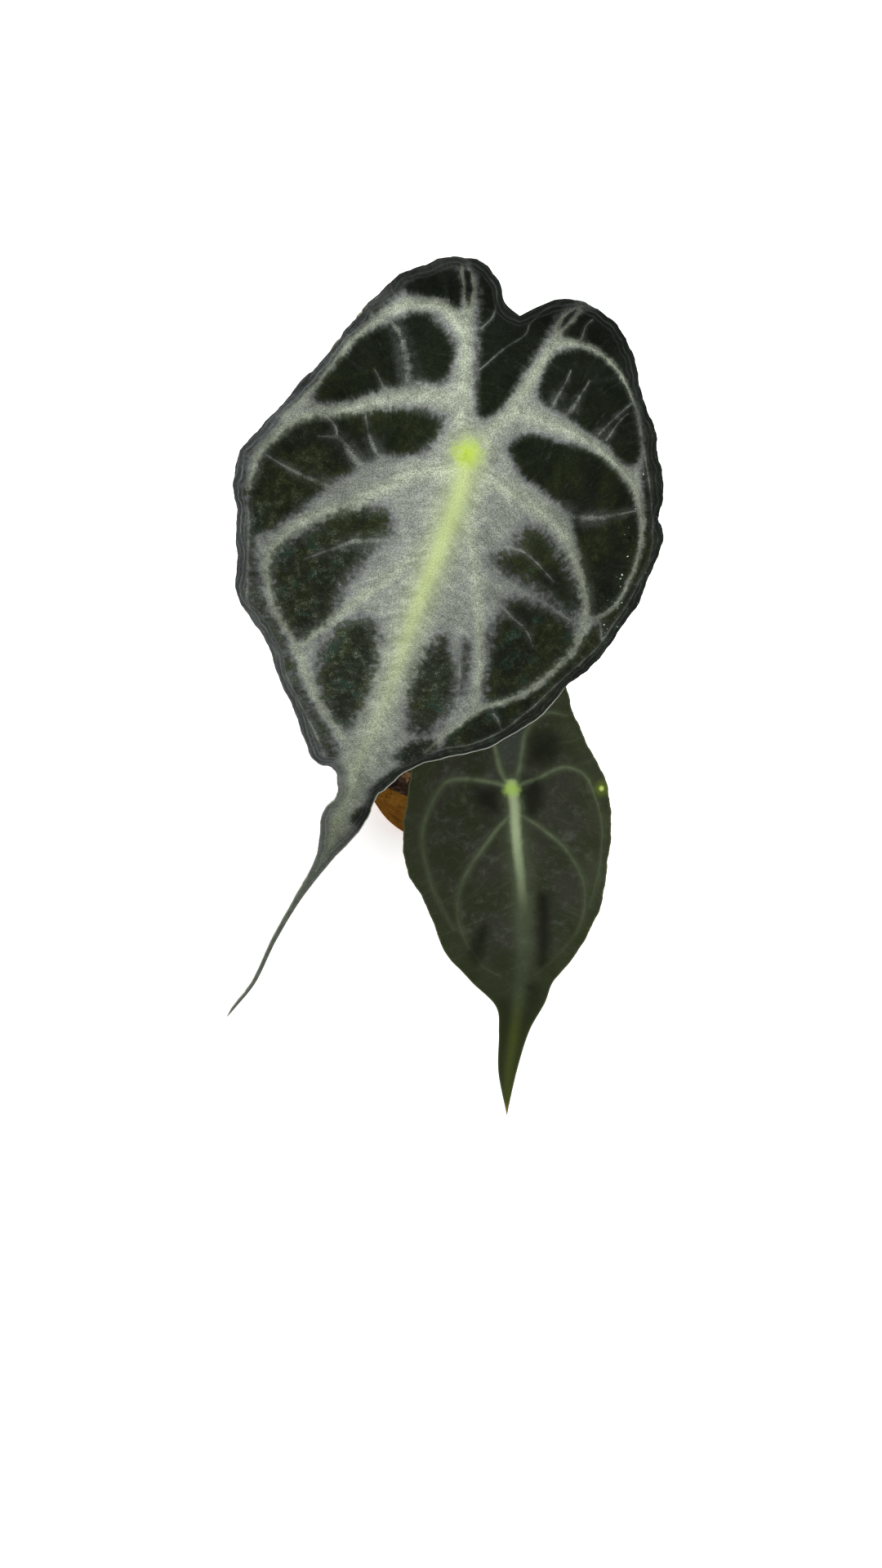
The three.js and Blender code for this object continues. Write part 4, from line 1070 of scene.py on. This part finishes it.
def large_upper_finish():
    """Dark islands with a feathered edge in silver, pale veins, a lime midrib and a slate margin."""
    finish = Finish("silver and black leaf")
    dusk, rim, across, down, apart = finish.marks("dusk", "rim", "across", "down", "apart")
    rib, fine, core, hub, feather, stream = finish.marks("rib", "fine", "core", "hub", "feather", "stream")
    left = across.range(-6, 6, 1, 0)
    low = down.range(5, 35)
    specks = finish.noise(0.3, 1, rough=0.4)
    mottle = finish.noise(1.9, 4, rough=0.65)
    patches = finish.noise(4.5, 3, rough=0.6)
    uneven = mottle - 0.5
    hairs = finish.noise(0.9, 3, (feather + uneven * 2, dusk * 0.6, 0), rough=0.75)
    streaks = finish.noise(1.5, 4, (stream + (patches - 0.5) * 3.5, apart * 0.2, 0), rough=0.6)
    striae = finish.noise(0.6, 3, (apart, down * 0.07, left * 1000), rough=0.6)
    edge = dusk
    for pattern, weight in (
        (hairs, low.range(0, 1, 1.7, 1)),
        (mottle, low.range(0, 1, 1.4, 2.1)),
        (streaks, low.range(0, 1, 0.8, 1.4)),
        (specks, 1),
    ):
        edge = edge + (pattern - 0.5) * weight
    finish.color = finish.ramp(edge * 0.5 + 0.5, SILVER)

    dark = edge.range(-0.2, 0.6)
    # Olive on the islands, fading out towards the lobe tops: partly the islands' own olive tone, partly
    # painted sheen and light on the lower blade
    olive = dark * finish.noise(10).range(0.42, 0.6, 0.15, 0.9) * mottle.range(0.36, 0.62, 0.35, 1)
    finish.coat(olive * down.range(-28, 22, 0.05, 1), ISLAND_OLIVE)
    # Painted sheen: teal patches on the lower islands stand for the satin highlight where the surface
    # tilts, with a little of the islands' own teal bloom
    teal_sheen = patches.range(0.53, 0.7) * down.range(10, 40, 0, 0.8)
    finish.coat(teal_sheen * dark.range(0, 1, 0.12, 1), ISLAND_TEAL_SHEEN)
    dust = mottle.range(0.42, 0.68) * patches.range(0.36, 0.6, 0.25, 1)
    dust = dust * specks.range(0.34, 0.62, 0.35, 1.2) * down.range(-5, 45, 0.02, 0.62)
    finish.coat(dust * across.range(14, 24, 1, 0.3) * dark, ISLAND_DUST)

    rib = rib + uneven * 2.6
    fine = fine + uneven * 2.6
    band = rib.range(0.3, 3.6, 0.62, 0) * dark.range(0, 1, 1, 0.25)
    finish.coat(band * down.range(45, 75, 1, 0.8), VEIN_PALE)
    finish.coat(rib.range(0, 1.5, 0.26, 0), VEIN_PALE)
    faint = patches.range(0.35, 0.6, 0.3, 1)
    finish.coat(fine.range(0, 5.5, 0.4, 0) * faint, VEIN_HALO)
    finish.coat(fine.range(0, 1.5, 0.75, 0) * faint, FINE_PALE)
    grain = specks.range(0.34, 0.66, 0.64, 1.36) * streaks.range(0.34, 0.66, 0.84, 1.16)
    finish.shade(grain * patches.range(0.34, 0.66, 0.86, 1.14))
    # Darker towards the veins' far ends, the tip and the right side, which is the blade's own tone fading;
    # darker at the lobe tops, which is painted shade
    fade_and_shade = apart.range(6, 42, 1, 0.68) * down.range(60, 106, 1, 0.6) * down.range(-39, -28, 0.42, 1)
    finish.shade(fade_and_shade * left.range(0, 1, 0.87, 1) * down.range(97, 114, 1, 0.6))

    core = core + (striae - 0.5) * 1.6 + (specks - 0.5) * 1.3
    fade = down.range(15, 84, 1, 0.08)
    finish.coat(core.range(0.6, 2.6, 0.26, 0) * fade, LIME_PALE)
    lime = core.range(0.1, 1.25, 0.95, 0) * fade
    lime = lime * striae.range(0.35, 0.6, 0.45, 1) * specks.range(0.36, 0.56, 0.5, 1)
    finish.coat(lime, finish.blend(striae.range(0.4, 0.65), LIME_PALE, LIME_WHITE))
    flecks = finish.noise(0.8, warp=0.4).range(0.69, 0.73) * across.range(43, 46)
    finish.coat(flecks * patches.range(0.5, 0.56), FLECK_PALE)
    hub = hub + uneven * 7 + (specks - 0.5) * 4
    finish.coat(hub.range(0.2, 5.6, 0.95, 0), finish.blend(mottle.range(0.35, 0.6), LIME_DEEP, LIME))

    wander = rim + (finish.noise(7, 3) - 0.5) * 2.6
    pale_side = left * down.range(-36, -8, 0.1, 1)
    slate = wander.range(1.2, 3.6, 0.7125, 0) * mottle.range(0.35, 0.6, 1, 0.75)
    finish.coat(slate, finish.blend(pale_side, SLATE_BLACK, SLATE))
    for place, spread, strength in MARGIN_LINES:
        line = abs(wander - place).range(0.1 * spread, spread, strength, 0)
        line = line * mottle.range(0.35, 0.6, 0.15, 1) * pale_side.range(0, 1, 0.2, 1)
        finish.coat(line, MARGIN_PALE)
    # Painted highlight: a pale line along the lower margin, strongest on the left, stands for the lit cut
    # edge
    edge_highlight = rim.range(0.05, 0.4, 0.7, 0) * down.range(50, 62)
    finish.coat(edge_highlight * left.range(0, 1, 1, 0.2), EDGE_HIGHLIGHT_PALE)
    folds = (wander * (2 * math.pi / FOLD_SPACING)).join("SINE") * rim.range(0.3, 3.8, 0.4, 0)
    relief = mottle * 0.6 + hairs * 0.4 + specks * 0.25 + folds
    return finish.done(dark.range(0, 1, 0.62, 0.5), relief, 0.2, 0.7, 0.035)


def small_upper_finish():
    """Nearly black olive under a grey bloom, with sage veins, a brown tip and one pale spot."""
    finish = Finish("dusty olive leaf", OLIVE_DARK)
    dusk, rim, across, down, apart = finish.marks("dusk", "rim", "across", "down", "apart")
    rib, core, hub, stream = finish.marks("rib", "core", "hub", "stream")
    streaks = finish.noise(1.8, 3, (stream, apart * 0.2, 0), rough=0.65)
    clouds = finish.noise(11, 3)
    drift = finish.noise(5, 3, rough=0.6)
    specks = finish.noise(0.4)
    net = finish.noise(2.2, 4, rough=0.65)
    uneven = net - 0.5
    rib = rib + uneven * 1.8
    finish.coat(clouds.range(0.38, 0.62), OLIVE_GREY)
    finish.coat(net.range(0.4, 0.7, 0, 0.5) * drift.range(0.42, 0.62), BLOOM_GREY)
    finish.coat(rim.range(3, 11, 0.7, 0) * net.range(0.34, 0.6, 0.3, 1), OUTER_OLIVE)
    finish.coat(down.range(-14, -3, 0.7, 0) * abs(across).range(2, 5.5, 1, 0), TEAL_GREY)
    finish.coat(streaks.range(0.5, 0.7, 0, 0.3), STREAK_GREY)
    finish.coat(specks.range(0.58, 0.75, 0, 0.15), SPECK_GREY)
    finish.coat(rib.range(0, 5, 0.4, 0) * down.range(30, 60, 1, 0.3), VEIN_SHADOW)
    finish.coat((dusk + uneven * 1.2).range(-0.9, 0.8, 0, 0.9), NEAR_BLACK)
    finish.coat(down.range(42, 58, 0, 0.45) * drift.range(0.35, 0.6, 0.5, 1), LOWER_OLIVE)
    tired = hub.range(3, 38, 0.85, 0.14) * drift.range(0.36, 0.6, 0.5, 1)
    finish.coat(rib.range(0, 2.5, 0.8, 0) * tired, VEIN_SAGE)
    wash = (core + uneven * 1.8).range(0.6, 2.9, 0.2, 0) * specks.range(0.35, 0.6, 0.6, 1)
    finish.coat(wash * down.range(18, 38) * down.range(50, 68, 1, 0.1), MIDRIB_WASH)
    pale = (core + uneven * 0.54).range(0.2, 1.5, 0.95, 0)
    finish.coat(pale * down.range(10, 40, 1, 0), MIDRIB_SAGE)
    tail = down.range(60, 78) * net.range(0.3, 0.7, 0.6, 1)
    finish.coat(tail, finish.blend(core.range(0, 2.2), TAIL_OLIVE, TAIL_DARK))
    finish.coat(down.range(100, 105), TIP_BROWN)
    finish.coat((hub + uneven * 3).range(0.4, 3.4, 0.95, 0), HUB_GREEN)
    finish.coat(rim.range(0.1, 0.6, 0.4, 0), RIM_GREEN)
    aside, below = across - SPOT[0], down - SPOT[1]
    off_spot = (aside * aside + below * below).join("SQRT")
    finish.coat(off_spot.range(0.5, 3.2, 0.6, 0), SPOT_HALO)
    finish.coat(off_spot.range(0.2, 1, 0.85, 0), SPOT_PALE)
    return finish.done(clouds.range(0.3, 0.7, 0.5, 0.62), net + specks * 0.2, 0.2, specular=0.08)


def under_finish():
    finish = Finish("leaf underside", UNDER_GREEN)
    rib, fine, hub = finish.marks("rib", "fine", "hub")
    net = finish.noise(1.4, 3, rough=0.6)
    specks = finish.noise(0.4)
    finish.coat(finish.noise(8, 3).range(0.35, 0.65), UNDER_PLUM)
    finish.coat(net.range(0.55, 0.7, 0, 0.4), UNDER_NET)
    finish.coat(specks.range(0.5, 0.7, 0, 0.2), UNDER_SPECK)
    finish.coat(rib.range(0.3, 1.6, 0.85, 0), UNDER_RIB)
    finish.coat(fine.range(0.3, 2, 0.5, 0), UNDER_VEIN)
    finish.coat(hub.range(3, 7, 0.9, 0), STALK_PALE)
    return finish.done(0.6, net + specks * 0.3, 0.2, specular=0.3)


def leaf_edge_finish():
    finish = Finish("leaf edge", EDGE_GREEN)
    wear = finish.noise(1.5, 3)
    finish.coat(wear.range(0.4, 0.65), EDGE_PALE)
    return finish.done(0.6, wear, specular=0.3)


underside = under_finish()
leaf_edge = leaf_edge_finish()
blade_piece("large_blade", "blade_large", LARGE, 0.58, (large_upper_finish(), underside, leaf_edge))
blade_piece("small_blade", "blade_small", SMALL, 0.5, (small_upper_finish(), underside, leaf_edge))

# Floor, light and camera
# A plain white sweep under soft light from all round, seen from high in front as in the
# photograph, which is 1080 wide and 1920 high.
FLOOR_SIZE = 6
FLOOR_DROP = 0.0002
FLOOR_WHITE = (0.80, 0.805, 0.80)
FLOOR_WARM = (0.83, 0.83, 0.825)
FLOOR_GLOW = (0.4, 1.1)
HORIZON_LIGHT = 1.15
ZENITH_LIGHT = 0.4
SOFTBOX_AIM = Vector((0, -0.02, 0.1))
SOFTBOXES = (
    ("softbox over", (0.1, 0.35, 1.1), 1.1, 14),
    ("softbox right", (1.0, -0.1, 0.8), 0.9, 9),
    ("softbox left", (-1.0, 0.0, 0.7), 0.9, 5),
)
CAMERA_LENS = 52
CAMERA_SENSOR = 36
CAMERA_DROP = math.radians(70)
CAMERA_DISTANCE = 0.755
CAMERA_TARGET = Vector((0, -0.0035, 0))


def floor_finish():
    finish = Finish("white sweep", FLOOR_WHITE)
    finish.coat(finish.noise(400), FLOOR_WARM)
    across, along = finish.axis("X"), finish.axis("Y")
    reach = (across * across + along * along).join("SQRT")
    finish.shader.inputs["Emission Color"].default_value = (1, 1, 1, 1)
    # Painted light: the floor glows, more towards its far edge, so that it stays white, its shadows fade
    # and it lights the plant from below
    finish.feed(finish.shader.inputs["Emission Strength"], reach.range(350, 1400, *FLOOR_GLOW))
    return finish.done(0.9, specular=0.1)


floor = started("floor", bpy.ops.mesh.primitive_grid_add, x_subdivisions=8, y_subdivisions=8,
                size=FLOOR_SIZE, location=(0, 0, -FLOOR_DROP))
floor.data.materials.append(floor_finish())

world = bpy.data.worlds.new("studio")
bpy.context.scene.world = world
world.use_nodes = True
sky, links = world.node_tree.nodes, world.node_tree.links
sky["Background"].inputs["Color"].default_value = (1, 1, 1, 1)
way = sky.new("ShaderNodeTexCoord")
split = sky.new("ShaderNodeSeparateXYZ")
fall = sky.new("ShaderNodeMapRange")
links.new(way.outputs["Generated"], split.inputs[0])
links.new(split.outputs["Z"], fall.inputs["Value"])
for socket, value in zip(fall.inputs[1:5], (0.02, 0.35, HORIZON_LIGHT, ZENITH_LIGHT)):
    socket.default_value = value
links.new(fall.outputs[0], sky["Background"].inputs["Strength"])
for name, place, size, power in SOFTBOXES:
    softbox = bpy.data.lights.new(name, "AREA")
    softbox.size = size
    softbox.energy = power
    lamp = bpy.data.objects.new(name, softbox)
    bpy.context.scene.collection.objects.link(lamp)
    lamp.location = place
    lamp.rotation_euler = (SOFTBOX_AIM - lamp.location).to_track_quat("-Z", "Y").to_euler()
bpy.context.scene.view_settings.view_transform = "Standard"

camera = bpy.data.cameras.new("camera")
camera.lens = CAMERA_LENS
camera.sensor_width = CAMERA_SENSOR
camera.clip_start = 0.01
camera_object = bpy.data.objects.new("camera", camera)
bpy.context.scene.collection.objects.link(camera_object)
back = Vector((0, -math.cos(CAMERA_DROP), math.sin(CAMERA_DROP)))
camera_object.location = CAMERA_TARGET + CAMERA_DISTANCE * back
camera_object.rotation_euler = (math.pi / 2 - CAMERA_DROP, 0, 0)
bpy.context.scene.camera = camera_object
